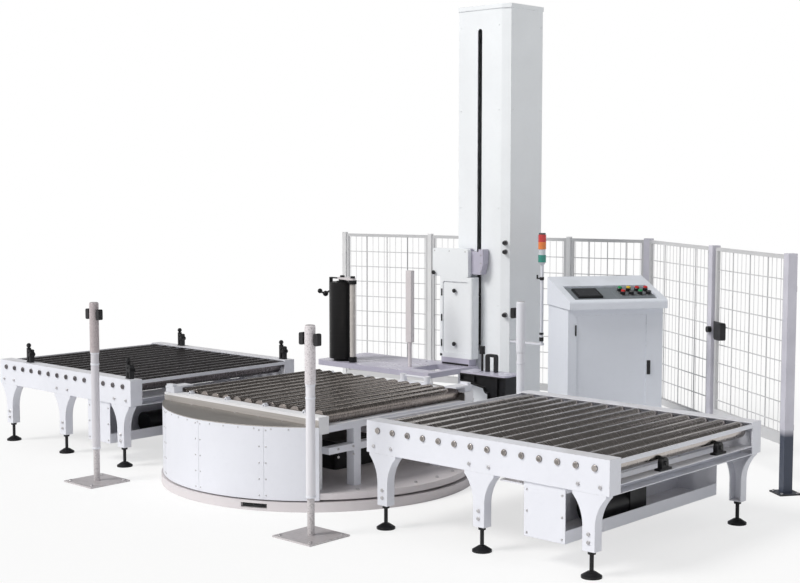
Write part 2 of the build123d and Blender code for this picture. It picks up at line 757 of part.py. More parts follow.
def mast_base():
    """Base plate with its four anchor holes."""
    left = MAST_X - MAST_WIDTH / 2 - MAST_BASE_MARGIN
    right = MAST_RIGHT + MAST_BASE_MARGIN
    front = MAST_FRONT - MAST_BASE_MARGIN
    back = MAST_BACK + MAST_BASE_MARGIN
    plate = block(left, right, front, back, 0, MAST_BASE_THICKNESS)
    for x in (left + MAST_ANCHOR_INSET, right - MAST_ANCHOR_INSET):
        for y in (front + MAST_ANCHOR_INSET, back - MAST_ANCHOR_INSET):
            plate -= rod(MAST_ANCHOR_RADIUS, MAST_BASE_THICKNESS * 3, x, y, -MAST_BASE_THICKNESS)
    return plate


def mast_cap():
    """Lid on top of the mast, with a small lip all round."""
    plan = mast_outline(-MAST_CAP_LIP)
    return Pos(0, 0, MAST_TOP) * extrude(plan, MAST_CAP_HEIGHT)


def mast_guide():
    """Guide bar inside the mast that the carriage runs on, from the base plate to the cap."""
    half = GUIDE_WIDTH / 2
    return block(
        SLOT_CENTRE_X - half,
        SLOT_CENTRE_X + half,
        GUIDE_FRONT,
        GUIDE_FRONT + GUIDE_DEPTH,
        MAST_BASE_THICKNESS,
        MAST_TOP,
    )


def mast_button(x, y, z, turn):
    """Push button that seats on a face of the mast, turned by that face's angle from the front."""
    button = Rot(90, 0, 0) * Cylinder(MAST_BUTTON_RADIUS, BUTTON_HEIGHT)
    return Pos(x, y, z) * Rot(0, 0, turn) * Pos(0, -BUTTON_HEIGHT / 2, 0) * button


def mast_controls():
    """Push buttons down the mast's chamfer, and one more around the corner beside the lowest."""
    chamfer = math.degrees(math.atan2(MAST_FOLD_DEPTH, MAST_FOLD))
    x = MAST_RIGHT - MAST_FOLD / 2
    y = MAST_FRONT + MAST_FOLD_DEPTH / 2
    buttons = [mast_button(x, y, z, chamfer) for z in MAST_BUTTON_LEVELS]
    side_y = MAST_FRONT + MAST_FOLD_DEPTH + MAST_SIDE_BUTTON_INSET
    buttons.append(mast_button(MAST_RIGHT, side_y, MAST_BUTTON_LEVELS[-1], 90))
    return buttons


def carriage_slider():
    """Sliding block behind the slot, with the web that reaches out through it to the housing."""
    back = GUIDE_FRONT - RUNNING_GAP
    front = back - SLIDER_DEPTH
    top = SLIDER_BOTTOM + SLIDER_HEIGHT
    half = SLIDER_WIDTH / 2
    shoe = block(SLOT_CENTRE_X - half, SLOT_CENTRE_X + half, front, back, SLIDER_BOTTOM, top)
    arm = ARM_WIDTH / 2
    web = block(SLOT_CENTRE_X - arm, SLOT_CENTRE_X + arm, HOUSING_BACK, front, SLIDER_BOTTOM, top)
    return shoe + web


def carriage_housing():
    """Moulded housing of the pre-stretch drive with a recessed door, and the wider box on top of it."""
    body = block(HOUSING_LEFT, HOUSING_RIGHT, HOUSING_FRONT, HOUSING_BACK, HOUSING_BOTTOM, HOUSING_TOP)
    body = fillet(body.edges().filter_by(Axis.Z).sort_by(Axis.Y)[:2], radius=HOUSING_CORNER)
    margin = HOUSING_DOOR_MARGIN
    recess = block(
        HOUSING_LEFT + margin,
        HOUSING_RIGHT - margin,
        HOUSING_FRONT - 1,
        HOUSING_FRONT + HOUSING_DOOR_RECESS,
        HOUSING_BOTTOM + margin,
        HOUSING_TOP - margin,
    )
    recess = fillet(recess.edges().filter_by(Axis.Y), radius=HOUSING_CORNER)
    head = block(
        HOUSING_LEFT - HEAD_BOX_OVERHANG,
        HOUSING_RIGHT - HEAD_BOX_INSET,
        HOUSING_FRONT,
        HOUSING_FRONT + HEAD_BOX_DEPTH,
        HOUSING_TOP,
        HEAD_BOX_TOP,
    )
    head = fillet(head.edges().filter_by(Axis.Y), radius=HOUSING_CORNER)
    return body - recess + head


def carriage_head():
    """Bearing block in front of the slot, tapered towards its foot, with an ear on each top corner."""
    half = HEAD_BLOCK_WIDTH / 2
    foot = HEAD_BLOCK_FOOT / 2
    shoulder = (HEAD_BLOCK_BOTTOM + HEAD_BLOCK_TOP) / 2
    ear = HEAD_BLOCK_TOP + HEAD_EAR_HEIGHT
    right = [
        (foot, HEAD_BLOCK_BOTTOM),
        (half, shoulder),
        (half, ear),
        (half - HEAD_EAR_WIDTH, ear),
        (half - HEAD_EAR_WIDTH, HEAD_BLOCK_TOP),
    ]
    left = [(-x, z) for x, z in reversed(right)]
    profile = Plane.XZ * make_face(Polyline(*right, *left, close=True))
    front = HOUSING_FRONT + HEAD_BOX_DEPTH
    depth = MAST_FRONT - HEAD_BLOCK_CLEARANCE - front
    return Pos(SLOT_CENTRE_X, front, 0) * extrude(profile, amount=-depth)


def carriage_shelf():
    """Lower arm of the carriage from under the housing to the film roll, with an open window."""
    low = SHELF_TOP - SHELF_THICKNESS
    arm = block(SHELF_LEFT, HOUSING_RIGHT, SHELF_FRONT, HOUSING_BACK, low, SHELF_TOP)
    arm = fillet(arm.edges().filter_by(Axis.Z).sort_by(Axis.X)[:2], radius=SHELF_CORNER)
    margin = SHELF_WINDOW_MARGIN
    window = block(
        FILM_POST_X + FILM_POST_WIDTH,
        HOUSING_RIGHT - margin / 2,
        SHELF_FRONT + margin,
        HOUSING_FRONT - margin / 2,
        low - 1,
        SHELF_TOP + 1,
    )
    window = fillet(window.edges().filter_by(Axis.Z), radius=SHELF_CORNER / 2)
    inset = SHELF_NECK_INSET
    neck = block(
        HOUSING_LEFT + inset, HOUSING_RIGHT - inset, HOUSING_FRONT, HOUSING_BACK, SHELF_TOP, HOUSING_BOTTOM
    )
    return arm - window + neck


def film_spindle():
    """Spindle on the shelf that the film roll turns on, with a flange under the roll."""
    flange = ROLL_CORE_RADIUS + ROLL_FLANGE_MARGIN
    seat = ROLL_BOTTOM - RUNNING_GAP
    return turned(
        [
            (0, SHELF_TOP),
            (flange, SHELF_TOP),
            (flange, seat),
            (SPINDLE_RADIUS, seat),
            (SPINDLE_RADIUS, SPINDLE_TOP),
            (0, SPINDLE_TOP),
        ]
    )


def film_roll():
    """Roll of stretch film wound on its core, which stands out a little at both ends of the film."""
    bore = SPINDLE_RADIUS + RUNNING_GAP
    reel = [
        (bore, ROLL_BOTTOM),
        (ROLL_CORE_RADIUS, ROLL_BOTTOM),
        (ROLL_CORE_RADIUS, ROLL_BOTTOM + ROLL_CORE_STEP),
        (ROLL_RADIUS, ROLL_BOTTOM + ROLL_CORE_STEP),
        (ROLL_RADIUS, ROLL_BOTTOM + ROLL_HEIGHT - ROLL_CORE_STEP),
        (ROLL_CORE_RADIUS, ROLL_BOTTOM + ROLL_HEIGHT - ROLL_CORE_STEP),
        (ROLL_CORE_RADIUS, ROLL_BOTTOM + ROLL_HEIGHT),
        (bore, ROLL_BOTTOM + ROLL_HEIGHT),
    ]
    return turned(reel)


def stretch_roller():
    """Rubber roller beside the film roll, on its axle from the shelf to the link above."""
    axle = AXLE_RADIUS
    low = SHELF_TOP + STRETCH_ROLLER_FOOT
    top = low + STRETCH_ROLLER_HEIGHT
    return turned(
        [
            (0, SHELF_TOP),
            (axle, SHELF_TOP),
            (axle, low),
            (STRETCH_ROLLER_RADIUS, low),
            (STRETCH_ROLLER_RADIUS, top),
            (axle, top),
            (axle, SPINDLE_TOP),
            (0, SPINDLE_TOP),
        ]
    )


def top_link():
    """Link on top of the spindle and the roller's axle, rounded about both."""
    ends = ((ROLL_X, ROLL_Y, SPINDLE_RADIUS), (STRETCH_ROLLER_X, STRETCH_ROLLER_Y, STRETCH_ROLLER_RADIUS))
    run = math.dist(ends[0][:2], ends[1][:2])
    angle = math.degrees(math.atan2(ends[1][1] - ends[0][1], ends[1][0] - ends[0][0]))
    wide = SPINDLE_RADIUS + LINK_MARGIN
    narrow = STRETCH_ROLLER_RADIUS
    bar = make_face(Polyline((0, -wide), (run, -narrow), (run, narrow), (0, wide), close=True))
    link = extrude(bar, LINK_THICKNESS)
    link += rod(wide, LINK_THICKNESS, 0, 0, 0) + rod(narrow, LINK_THICKNESS, run, 0, 0)
    return Pos(ROLL_X, ROLL_Y, SPINDLE_TOP) * Rot(0, 0, angle) * link


def film_post():
    """Folded upright that guides the film, open towards the roll, on a stem from the shelf."""
    half = FILM_POST_WIDTH / 2
    deep = FILM_POST_DEPTH / 2
    wall = FILM_POST_WALL
    low = FILM_POST_BOTTOM
    top = FILM_POST_TOP
    channel = block(-half, half, -deep, deep, low, top)
    channel -= block(-half - 1, half - wall, wall - deep, deep - wall, low + wall, top - wall)
    stem = rod(FILM_POST_STEM, FILM_POST_BOTTOM - SHELF_TOP, 0, 0, SHELF_TOP)
    return Pos(FILM_POST_X, FILM_POST_Y, 0) * (channel + stem)


def console_frame():
    """Frame of the console at its front left corner: X along the front, Y towards the back."""
    side = math.degrees(math.atan2(FENCE_END[1] - FENCE_CORNER[1], FENCE_END[0] - FENCE_CORNER[0]))
    return Pos(CONSOLE_CORNER[0], CONSOLE_CORNER[1], 0) * Rot(0, 0, side + 90)


def console_cabinet():
    """Cabinet of the console with its recessed door, on a set-back plinth."""
    setback = CONSOLE_PLINTH_SETBACK
    body = block(0, CONSOLE_WIDTH, 0, CONSOLE_DEPTH, CONSOLE_PLINTH, CONSOLE_HEIGHT)
    door = block(
        CONSOLE_DOOR_LEFT,
        CONSOLE_DOOR_RIGHT,
        -1,
        CONSOLE_DOOR_RECESS,
        CONSOLE_PLINTH + CONSOLE_DOOR_MARGIN,
        CONSOLE_HEIGHT - CONSOLE_DOOR_MARGIN,
    )
    plinth = block(setback, CONSOLE_WIDTH - setback, setback, CONSOLE_DEPTH - setback, 0, CONSOLE_PLINTH)
    return console_frame() * (body - door + plinth)


def desk_run():
    """Depth of the desk's slope, from behind the rounded lip to the back."""
    return DESK_OVERHANG + CONSOLE_DEPTH - DESK_LIP_RADIUS


def console_desk():
    """Desk on the cabinet: a rounded lip, two cheeks and the control panel sunk between them."""
    low = CONSOLE_HEIGHT
    lip_top = low + DESK_LIP_HEIGHT
    radius = DESK_LIP_RADIUS
    front = -DESK_OVERHANG
    edges = [
        Line((front, low), (CONSOLE_DEPTH, low)),
        Line((CONSOLE_DEPTH, low), (CONSOLE_DEPTH, low + DESK_RISE)),
        Line((CONSOLE_DEPTH, low + DESK_RISE), (front + radius, lip_top)),
        RadiusArc((front + radius, lip_top), (front, lip_top - radius), -radius),
        Line((front, lip_top - radius), (front, low)),
    ]
    profile = Plane.YZ * make_face(Curve() + edges)
    left = -DESK_SIDE_OVERHANG
    width = CONSOLE_WIDTH + 2 * DESK_SIDE_OVERHANG
    desk = Pos(left, 0, 0) * extrude(profile, width)
    deep = DESK_PANEL_RECESS
    pocket = block(left + DESK_CHEEK, left + width - DESK_CHEEK, 0, DESK_PANEL_DEPTH, -deep, DESK_RISE)
    return console_frame() * (desk - desk_slope() * pocket)


def desk_slope():
    """Frame on the desk's slope, just behind the lip: Y up the slope."""
    rise = DESK_RISE - DESK_LIP_HEIGHT
    angle = math.degrees(math.atan2(rise, desk_run()))
    return Pos(0, DESK_LIP_RADIUS - DESK_OVERHANG, CONSOLE_HEIGHT + DESK_LIP_HEIGHT) * Rot(angle, 0, 0)


def console_controls():
    """Display and two rows of push buttons on the sunk panel."""
    base = console_frame() * desk_slope() * Pos(0, 0, -DESK_PANEL_RECESS)
    middle = DESK_PANEL_DEPTH / 2
    half = DISPLAY_DEPTH / 2
    right = DISPLAY_LEFT + DISPLAY_WIDTH
    display = block(DISPLAY_LEFT, right, middle - half, middle + half, 0, DISPLAY_THICKNESS)
    parts = [base * display]
    for y in (middle - BUTTON_PITCH / 2, middle + BUTTON_PITCH / 2):
        for i in range(BUTTON_ROW_COUNT):
            parts.append(base * rod(BUTTON_RADIUS, BUTTON_HEIGHT, BUTTON_LEFT + i * BUTTON_PITCH, y, 0))
    return parts


def signal_tower():
    """Three signal lamps on a thin pole."""
    pole = turned(
        [
            (0, TOWER_POLE_BOTTOM),
            (TOWER_POLE_RADIUS, TOWER_POLE_BOTTOM),
            (TOWER_POLE_RADIUS, TOWER_LAMP_BOTTOM - TOWER_CUP_HEIGHT),
            (TOWER_LAMP_RADIUS, TOWER_LAMP_BOTTOM),
            (0, TOWER_LAMP_BOTTOM),
        ]
    )
    return Pos(TOWER_X, TOWER_Y, 0) * pole


def signal_lamps():
    """The lowest lamp, a spacer, the two upper lamps and the cap, each seated on the one below."""
    lamp = (TOWER_LAMP_RADIUS, TOWER_LAMP_HEIGHT)
    spacer = (TOWER_SPACER_RADIUS, TOWER_SPACER_HEIGHT)
    cap = (TOWER_SPACER_RADIUS, TOWER_CAP_HEIGHT)
    stack = []
    z = TOWER_LAMP_BOTTOM
    for radius, height in (lamp, spacer, lamp, lamp, cap):
        stack.append(rod(radius, height, TOWER_X, TOWER_Y, z))
        z += height
    return stack


def tower_bracket():
    """Bracket from the mast's side to the signal tower's pole."""
    half = TOWER_BRACKET_WIDTH / 2
    low = TOWER_POLE_BOTTOM - TOWER_BRACKET_HEIGHT
    arm = block(MAST_RIGHT, TOWER_X, TOWER_Y - half, TOWER_Y + half, low, TOWER_POLE_BOTTOM)
    return arm + rod(half, TOWER_BRACKET_HEIGHT, TOWER_X, TOWER_Y, low)


def barrier_post(plate):
    """Light barrier post: a plate, a thin stem, a tube and the wider head tube with its rounded top."""
    base = block(-plate / 2, plate / 2, -plate / 2, plate / 2, 0, BARRIER_PLATE_THICKNESS)
    stem = turned(
        [
            (0, BARRIER_PLATE_THICKNESS),
            (BARRIER_STEM_RADIUS, BARRIER_PLATE_THICKNESS),
            (BARRIER_STEM_RADIUS, BARRIER_TUBE_BOTTOM),
            (BARRIER_TUBE_RADIUS, BARRIER_TUBE_BOTTOM),
            (BARRIER_TUBE_RADIUS, BARRIER_HEAD_BOTTOM - BARRIER_SHOULDER),
            (BARRIER_HEAD_RADIUS, BARRIER_HEAD_BOTTOM),
            (BARRIER_HEAD_RADIUS, BARRIER_HEIGHT),
            (0, BARRIER_HEIGHT),
        ]
    )
    rim = stem.edges().filter_by(GeomType.CIRCLE).sort_by(Axis.Z)[-1]
    return base + fillet(rim, radius=BARRIER_ROUNDING)


def barrier_places():
    """Where the three light barrier posts stand, their plates and the sides that carry a sensor head."""
    return [
        (BARRIER_LEFT_X, BARRIER_NEAR_Y, BARRIER_NEAR_PLATE, (-1, 1)),
        (BARRIER_RIGHT_X, BARRIER_NEAR_Y, BARRIER_NEAR_PLATE, (-1, 1)),
        (BARRIER_FAR_RIGHT_X, BARRIER_FAR_Y, BARRIER_PLATE, (-1,)),
    ]


def sensor_head(side):
    """Sensor head on a short arm from the right or the left side of a post."""
    half = LENS_WIDTH / 2
    head = block(LENS_REACH, LENS_REACH + LENS_WIDTH, -half, half, -LENS_HEIGHT / 2, LENS_HEIGHT / 2)
    head = fillet(head.edges().filter_by(Axis.Y), radius=LENS_CORNER)
    arm = Pos(LENS_REACH / 2, 0, 0) * Rot(0, 90, 0) * Cylinder(LENS_ARM_RADIUS, LENS_REACH)
    arm -= Cylinder(BARRIER_HEAD_RADIUS, LENS_HEIGHT)
    return Rot(0, 0, 0 if side > 0 else 180) * (head + arm)


def barrier_lenses():
    """The sensor heads of all the posts."""
    z = BARRIER_HEIGHT - LENS_DROP
    return [Pos(x, y, z) * sensor_head(side) for x, y, _plate, sides in barrier_places() for side in sides]


def stand_outline():
    """Front of the cutting unit's stand: a post and an arm that tapers away from it, with a gusset."""
    top = CUTTER_PLATE_TOP - CUTTER_PLATE_THICKNESS
    post_left = CUTTER_RIGHT - CUTTER_POST_WIDTH
    root = top - CUTTER_ROOT_HEIGHT
    gusset = CUTTER_GUSSET
    edges = [
        Line((CUTTER_LEFT, top), (CUTTER_RIGHT, top)),
        Line((CUTTER_RIGHT, top), (CUTTER_RIGHT, CUTTER_BASE_THICKNESS)),
        Line((CUTTER_RIGHT, CUTTER_BASE_THICKNESS), (post_left, CUTTER_BASE_THICKNESS)),
        Line((post_left, CUTTER_BASE_THICKNESS), (post_left, root - gusset)),
        RadiusArc((post_left, root - gusset), (post_left - gusset, root), gusset),
        Line((post_left - gusset, root), (CUTTER_LEFT, top - CUTTER_TIP_HEIGHT)),
        Line((CUTTER_LEFT, top - CUTTER_TIP_HEIGHT), (CUTTER_LEFT, top)),
    ]
    return make_face(Curve() + edges)


def cutter_stand():
    """Pressed steel stand of the film cutting unit, with a sunk front and two ribs, on a foot plate."""
    body = Plane.XZ * stand_outline()
    pocket = Plane.XZ * offset(stand_outline(), amount=-CUTTER_SHEET)
    stand = extrude(body, amount=-CUTTER_DEPTH) - extrude(pocket, amount=-CUTTER_POCKET)
    top = CUTTER_PLATE_TOP - CUTTER_PLATE_THICKNESS
    arm_middle = (CUTTER_LEFT + CUTTER_RIGHT - CUTTER_POST_WIDTH) / 2
    post_middle = CUTTER_RIGHT - CUTTER_POST_WIDTH / 2
    half = CUTTER_RIB / 2
    arm_rib = block(arm_middle - half, arm_middle + half, 0, CUTTER_POCKET, top - CUTTER_TIP_HEIGHT, top)
    post_rib = block(post_middle - half, post_middle + half, 0, CUTTER_POCKET, CUTTER_BASE_THICKNESS, top)
    stand = Pos(0, CUTTER_FRONT, 0) * (stand + arm_rib + post_rib)
    margin = CUTTER_BASE_MARGIN
    return stand + block(
        CUTTER_RIGHT - CUTTER_POST_WIDTH - margin,
        CUTTER_RIGHT + margin,
        CUTTER_FRONT - margin,
        CUTTER_FRONT + CUTTER_DEPTH + margin,
        0,
        CUTTER_BASE_THICKNESS,
    )


def cutter_plate():
    """Cover plate of the cutting unit."""
    back = CUTTER_FRONT + CUTTER_DEPTH
    low = CUTTER_PLATE_TOP - CUTTER_PLATE_THICKNESS
    plate = block(CUTTER_LEFT, CUTTER_RIGHT, CUTTER_FRONT, back, low, CUTTER_PLATE_TOP)
    return fillet(plate.edges().filter_by(Axis.Z), radius=12)


def cutter_actuators():
    """Knob on its stem and the upturned stirrup beside it, on the cover plate."""
    y = CUTTER_FRONT + CUTTER_DEPTH * 0.65
    low = CUTTER_PLATE_TOP
    stem_top = low + KNOB_STEM_HEIGHT
    knob = rod(KNOB_STEM_RADIUS, KNOB_STEM_HEIGHT, KNOB_X, y, low)
    knob += rod(KNOB_RADIUS, KNOB_HEIGHT, KNOB_X, y, stem_top)
    wall = STIRRUP_WALL
    deep = STIRRUP_DEPTH / 2
    right = STIRRUP_LEFT + STIRRUP_WIDTH
    top = low + STIRRUP_HEIGHT
    stirrup = block(STIRRUP_LEFT, right, y - deep, y + deep, low, top)
    stirrup = fillet(stirrup.edges().filter_by(Axis.Y).sort_by(Axis.Z)[-2:], radius=wall)
    stirrup -= block(STIRRUP_LEFT + wall, right - wall, y - deep - 1, y + deep + 1, low - 1, top - wall)
    return [knob, stirrup]


def fence_post(size):
    """Square fence post on its base plate."""
    half = size / 2
    plate = FENCE_PLATE / 2
    post = block(-half, half, -half, half, FENCE_PLATE_THICKNESS, FENCE_TOP)
    return post + block(-plate, plate, -plate, plate, 0, FENCE_PLATE_THICKNESS)


def fence_panel(x0, x1, bottom, rail_height):
    """Mesh panel between two posts: a tube frame with a deep bottom rail, wires across and stays."""
    top = FENCE_TOP - FENCE_TUBE / 2
    half = FENCE_TUBE / 2
    low = bottom + rail_height
    high = top - FENCE_TUBE
    frame = block(x0, x1, -half, half, bottom, top)
    frame -= block(x0 + FENCE_TUBE, x1 - FENCE_TUBE, -half - 1, half + 1, low, high)
    wire = FENCE_WIRE / 2
    count = int((high - low) / FENCE_WIRE_PITCH)
    for i in range(1, count + 1):
        z = high - i * FENCE_WIRE_PITCH
        frame += block(x0 + half, x1 - half, -wire, wire, z - wire, z + wire)
    for i in range(1, FENCE_STAY_COUNT + 1):
        x = x0 + (x1 - x0) * i / (FENCE_STAY_COUNT + 1)
        frame += block(x - wire, x + wire, -wire, wire, bottom + half, top - half)
    return frame


def back_line():
    """The back fence line and the places of its posts along it."""
    length = math.dist(FENCE_LEFT, FENCE_CORNER)
    places = [0, FENCE_BACK_BAYS[0], FENCE_BACK_BAYS[0] + FENCE_BACK_BAYS[1], length]
    return along(FENCE_LEFT, FENCE_CORNER), places


def side_line():
    """The side fence line and the places of its posts along it."""
    length = math.dist(FENCE_CORNER, FENCE_END)
    return along(FENCE_CORNER, FENCE_END), [0, length - FENCE_DOOR_WIDTH, length]


def fence_posts():
    """All fence posts, the corner one shared by the two lines."""
    back, back_places = back_line()
    side, side_places = side_line()
    posts = [back * Pos(s, 0, 0) * fence_post(FENCE_BACK_POST) for s in back_places[:-1]]
    posts.append(back * Pos(back_places[-1], 0, 0) * fence_post(FENCE_POST))
    posts += [side * Pos(s, 0, 0) * fence_post(FENCE_POST) for s in side_places[1:]]
    return posts


def fixed_panels():
    """The fixed mesh panels, each fitted between its two posts."""
    back, back_places = back_line()
    side, side_places = side_line()
    halves = [FENCE_BACK_POST / 2] * (len(back_places) - 1) + [FENCE_POST / 2]
    panels = []
    for i in range(len(back_places) - 1):
        x0 = back_places[i] + halves[i]
        x1 = back_places[i + 1] - halves[i + 1]
        panels.append(back * fence_panel(x0, x1, FENCE_PANEL_BOTTOM, FENCE_RAIL_HEIGHT))
    x0 = FENCE_POST * CORNER_SHARE
    x1 = side_places[1] - FENCE_POST / 2
    panels.append(side * fence_panel(x0, x1, FENCE_PANEL_BOTTOM, FENCE_RAIL_HEIGHT))
    return panels


def door_span():
    """Where the door's leaf starts and ends along the side fence line."""
    places = side_line()[1]
    half = FENCE_POST / 2
    return places[1] + half + DOOR_GAP, places[2] - half - DOOR_GAP


def hinge_place():
    """The hinge axis, outside the gap between the leaf and the end post, in the fence line's frame."""
    return door_span()[1] + DOOR_GAP / 2, FENCE_POST / 2 + HINGE_RADIUS + MOVING_CLEARANCE


def door_leaf():
    """Fence door with a knuckle and its tab for each hinge."""
    x0, x1 = door_span()
    leaf = fence_panel(x0, x1, FENCE_DOOR_BOTTOM, FENCE_DOOR_RAIL)
    x, y = hinge_place()
    for z in HINGE_LEVELS:
        leaf += block(x1 - HINGE_TAB, x1, FENCE_TUBE / 2, y + HINGE_TAB / 2, z, z + HINGE_HEIGHT)
        leaf += block(x1 - HINGE_TAB, x, y - HINGE_TAB / 2, y + HINGE_TAB / 2, z, z + HINGE_HEIGHT)
        leaf += rod(HINGE_RADIUS, HINGE_HEIGHT, x, y, z)
        leaf -= rod(HINGE_PIN_RADIUS + RUNNING_GAP, HINGE_HEIGHT * 3, x, y, z - HINGE_HEIGHT)
    return side_line()[0] * leaf


def hinge_pins():
    """Hinge pins, each on a collar and a tab from the end post, under its knuckle."""
    x, y = hinge_place()
    post_face = door_span()[1] + DOOR_GAP
    pins = []
    for z in HINGE_LEVELS:
        top = z - RUNNING_GAP
        low = z - HINGE_HEIGHT / 2
        pin = rod(HINGE_RADIUS, top - low, x, y, low)
        pin += rod(HINGE_PIN_RADIUS, HINGE_HEIGHT + top - low, x, y, low)
        pin += block(x, post_face + FENCE_POST / 2, FENCE_POST / 2, y, low, top)
        pins.append(side_line()[0] * pin)
    return pins


def door_handle():
    """Lock case on the inside of the door, on a strap from the upright away from the hinges."""
    x0 = door_span()[0]
    face = -FENCE_TUBE / 2
    low = HANDLE_CENTRE - HANDLE_HEIGHT / 2
    top = HANDLE_CENTRE + HANDLE_HEIGHT / 2
    left = x0 + HANDLE_STRAP
    strap = block(x0, left + HANDLE_WIDTH / 2, face - HANDLE_PLATE, face, low, top)
    case = block(left, left + HANDLE_WIDTH, face - HANDLE_DEPTH, face, low, top)
    case = fillet(case.edges().filter_by(Axis.Y), radius=HANDLE_CORNER)
    return side_line()[0] * (strap + case)


def door_latch():
    """Round latch on the post beside the door's free edge."""
    x = side_line()[1][1] + LATCH_INSET
    disc = Rot(90, 0, 0) * Cylinder(LATCH_RADIUS, LATCH_DEPTH)
    return side_line()[0] * Pos(x, -(FENCE_POST + LATCH_DEPTH) / 2, HANDLE_CENTRE) * disc


def main():
    """Build and write every sub-part."""
    os.makedirs("parts", exist_ok=True)
    for name, centre, cover in (
        ("infeed", INFEED_CENTRE, INFEED_COVER_CENTRE),
        ("outfeed", OUTFEED_CENTRE, OUTFEED_COVER_CENTRE),
    ):
        near = rail(centre)
        save(name + "_rails", [near, mirrored(near)])
        roller = conveyor_roller()
        save(name + "_rollers", [Pos(centre + x, 0, AXLE_Z) * roller for x in roller_places()])
        save(name + "_cross_tubes", cross_members(centre))
        save(name + "_legs", legs(centre))
        save(name + "_feet", feet(centre))
        save(name + "_drive_cover", [drive_cover(cover)])
        save(name + "_drive_motor", [drive_motor(cover)])
    save("infeed_sensors", sensors())

    save("base_ring", [base_ring()])
    save("turntable_platform", [platform()])
    save("skirt_near", [skirt()])
    save("skirt_far", [mirrored(skirt())])
    save("cover_near", [segment_cover()])
    save("cover_far", [mirrored(segment_cover())])
    save("deck_rails", [deck_rail(), mirrored(deck_rail())])
    save("deck_rollers", deck_rollers())
    save("deck_end_frames", [deck_end(-1), deck_end(1)])
    save("deck_drive", [deck_drive()])
    save("film_clamp", [film_clamp()])

    save("mast_base", [mast_base()])
    save("mast_column", [mast_column()])
    save("mast_cap", [mast_cap()])
    save("mast_guide", [mast_guide()])
    save("mast_controls", mast_controls())

    save("carriage_slider", [carriage_slider()])
    save("carriage_housing", [carriage_housing()])
    save("carriage_head", [carriage_head()])
    save("carriage_shelf", [carriage_shelf()])
    save("film_spindle", [Pos(ROLL_X, ROLL_Y, 0) * film_spindle()])
    save("film_roll", [Pos(ROLL_X, ROLL_Y, 0) * film_roll()])
    save("stretch_rollers", [Pos(STRETCH_ROLLER_X, STRETCH_ROLLER_Y, 0) * stretch_roller()])
    save("roller_head", [top_link(), film_post()])

    save("console_cabinet", [console_cabinet()])
    save("console_desk", [console_desk()])
    save("console_controls", console_controls())
    save("signal_pole", [signal_tower()])
    save("signal_lamps", signal_lamps())
    save("tower_bracket", [tower_bracket()])

    save("barrier_posts", [Pos(x, y, 0) * barrier_post(plate) for x, y, plate, _sides in barrier_places()])
    save("barrier_lenses", barrier_lenses())

    save("cutter_stand", [cutter_stand()])
    save("cutter_plate", [cutter_plate()])
    save("cutter_actuators", cutter_actuators())

    save("fence_posts", fence_posts())
    for number, panel in enumerate(fixed_panels(), 1):
        save("fence_panel_" + str(number), [panel])
    save("fence_door", [door_leaf()])
    save("door_handle", [door_handle()])
    save("door_latch", [door_latch()])
    save("hinge_pins", hinge_pins())


main()
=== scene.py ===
import json
import math
import random

import bmesh
import bpy
from mathutils import Matrix, Vector


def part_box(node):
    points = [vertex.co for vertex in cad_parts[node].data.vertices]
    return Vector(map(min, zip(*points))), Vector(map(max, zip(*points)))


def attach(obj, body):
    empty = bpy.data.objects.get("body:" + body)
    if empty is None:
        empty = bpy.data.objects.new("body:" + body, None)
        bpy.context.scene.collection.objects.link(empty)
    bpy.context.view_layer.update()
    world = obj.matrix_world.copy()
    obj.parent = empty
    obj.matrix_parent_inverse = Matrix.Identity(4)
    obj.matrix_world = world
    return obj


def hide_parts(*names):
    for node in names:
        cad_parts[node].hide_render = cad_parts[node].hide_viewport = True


# Looks of a turntable pallet wrapper between two roller conveyors. Metres, in the frame of the solids:
# origin on the floor under the turntable, +X along the line, +Y towards the mast, +Z up.
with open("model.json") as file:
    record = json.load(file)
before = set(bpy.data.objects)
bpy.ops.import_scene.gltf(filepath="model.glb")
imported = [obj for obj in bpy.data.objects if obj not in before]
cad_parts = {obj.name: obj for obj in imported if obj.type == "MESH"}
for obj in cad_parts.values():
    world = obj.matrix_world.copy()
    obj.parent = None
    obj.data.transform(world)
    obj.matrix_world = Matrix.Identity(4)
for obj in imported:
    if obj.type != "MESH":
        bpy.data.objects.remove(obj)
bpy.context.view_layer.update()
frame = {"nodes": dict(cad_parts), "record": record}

# Camera of the photograph
IMAGE_WIDTH = 800
FOCAL_PIXELS = 1366.56
SENSOR_WIDTH = 36.0
CAMERA_PLACE = (5.3854, -5.1542, 1.626)
CAMERA_TURN = 42.84
CAMERA_TILT = 4.69

# Light
SKY_STRENGTH = 0.47
SUN_STRENGTH = 2.2
SUN_ELEVATION = 44.0
SUN_AZIMUTH = -24.0
FLOOR_RADIUS = 40.0
# Brightness of what glosses see: white up to a height in the sky, then falling to the ceiling
GLOSS_FALL = (0.12, 0.40, 1.0, 0.12)

# Places of the solids that the small parts sit on, as the source has them
CONSOLE_CORNER = (0.899, 1.070)
CONSOLE_TURN = math.radians(55.61)
DESK_SLOPE = math.radians(15.99)
FENCE_LINE = ((-1.612, 1.809), (0.591, 2.366), (2.100, 1.333))
FENCE_BACK_PLACES = (0.0, 0.694, 1.727)
SKIRT_RADIUS = 0.850
MAST_MIDDLE = (0.008, 1.566)
TOWER = (0.435, 1.440)
BARRIERS = ((-0.755, -0.937, 0.100), (0.921, -0.937, 0.100), (0.897, 0.640, 0.055))
SENSORS = [(x, side * 0.582) for x in (-1.955, -0.935) for side in (-1, 1)]

# Small parts
BEVEL_ANGLE = math.radians(40)
SHARP_ANGLE = math.radians(35)
WIRE_RADIUS = 0.0014
WIRE_PITCH = 0.045
ROLLERS_PER_CONVEYOR = 14
DECK_ROLLERS = 13


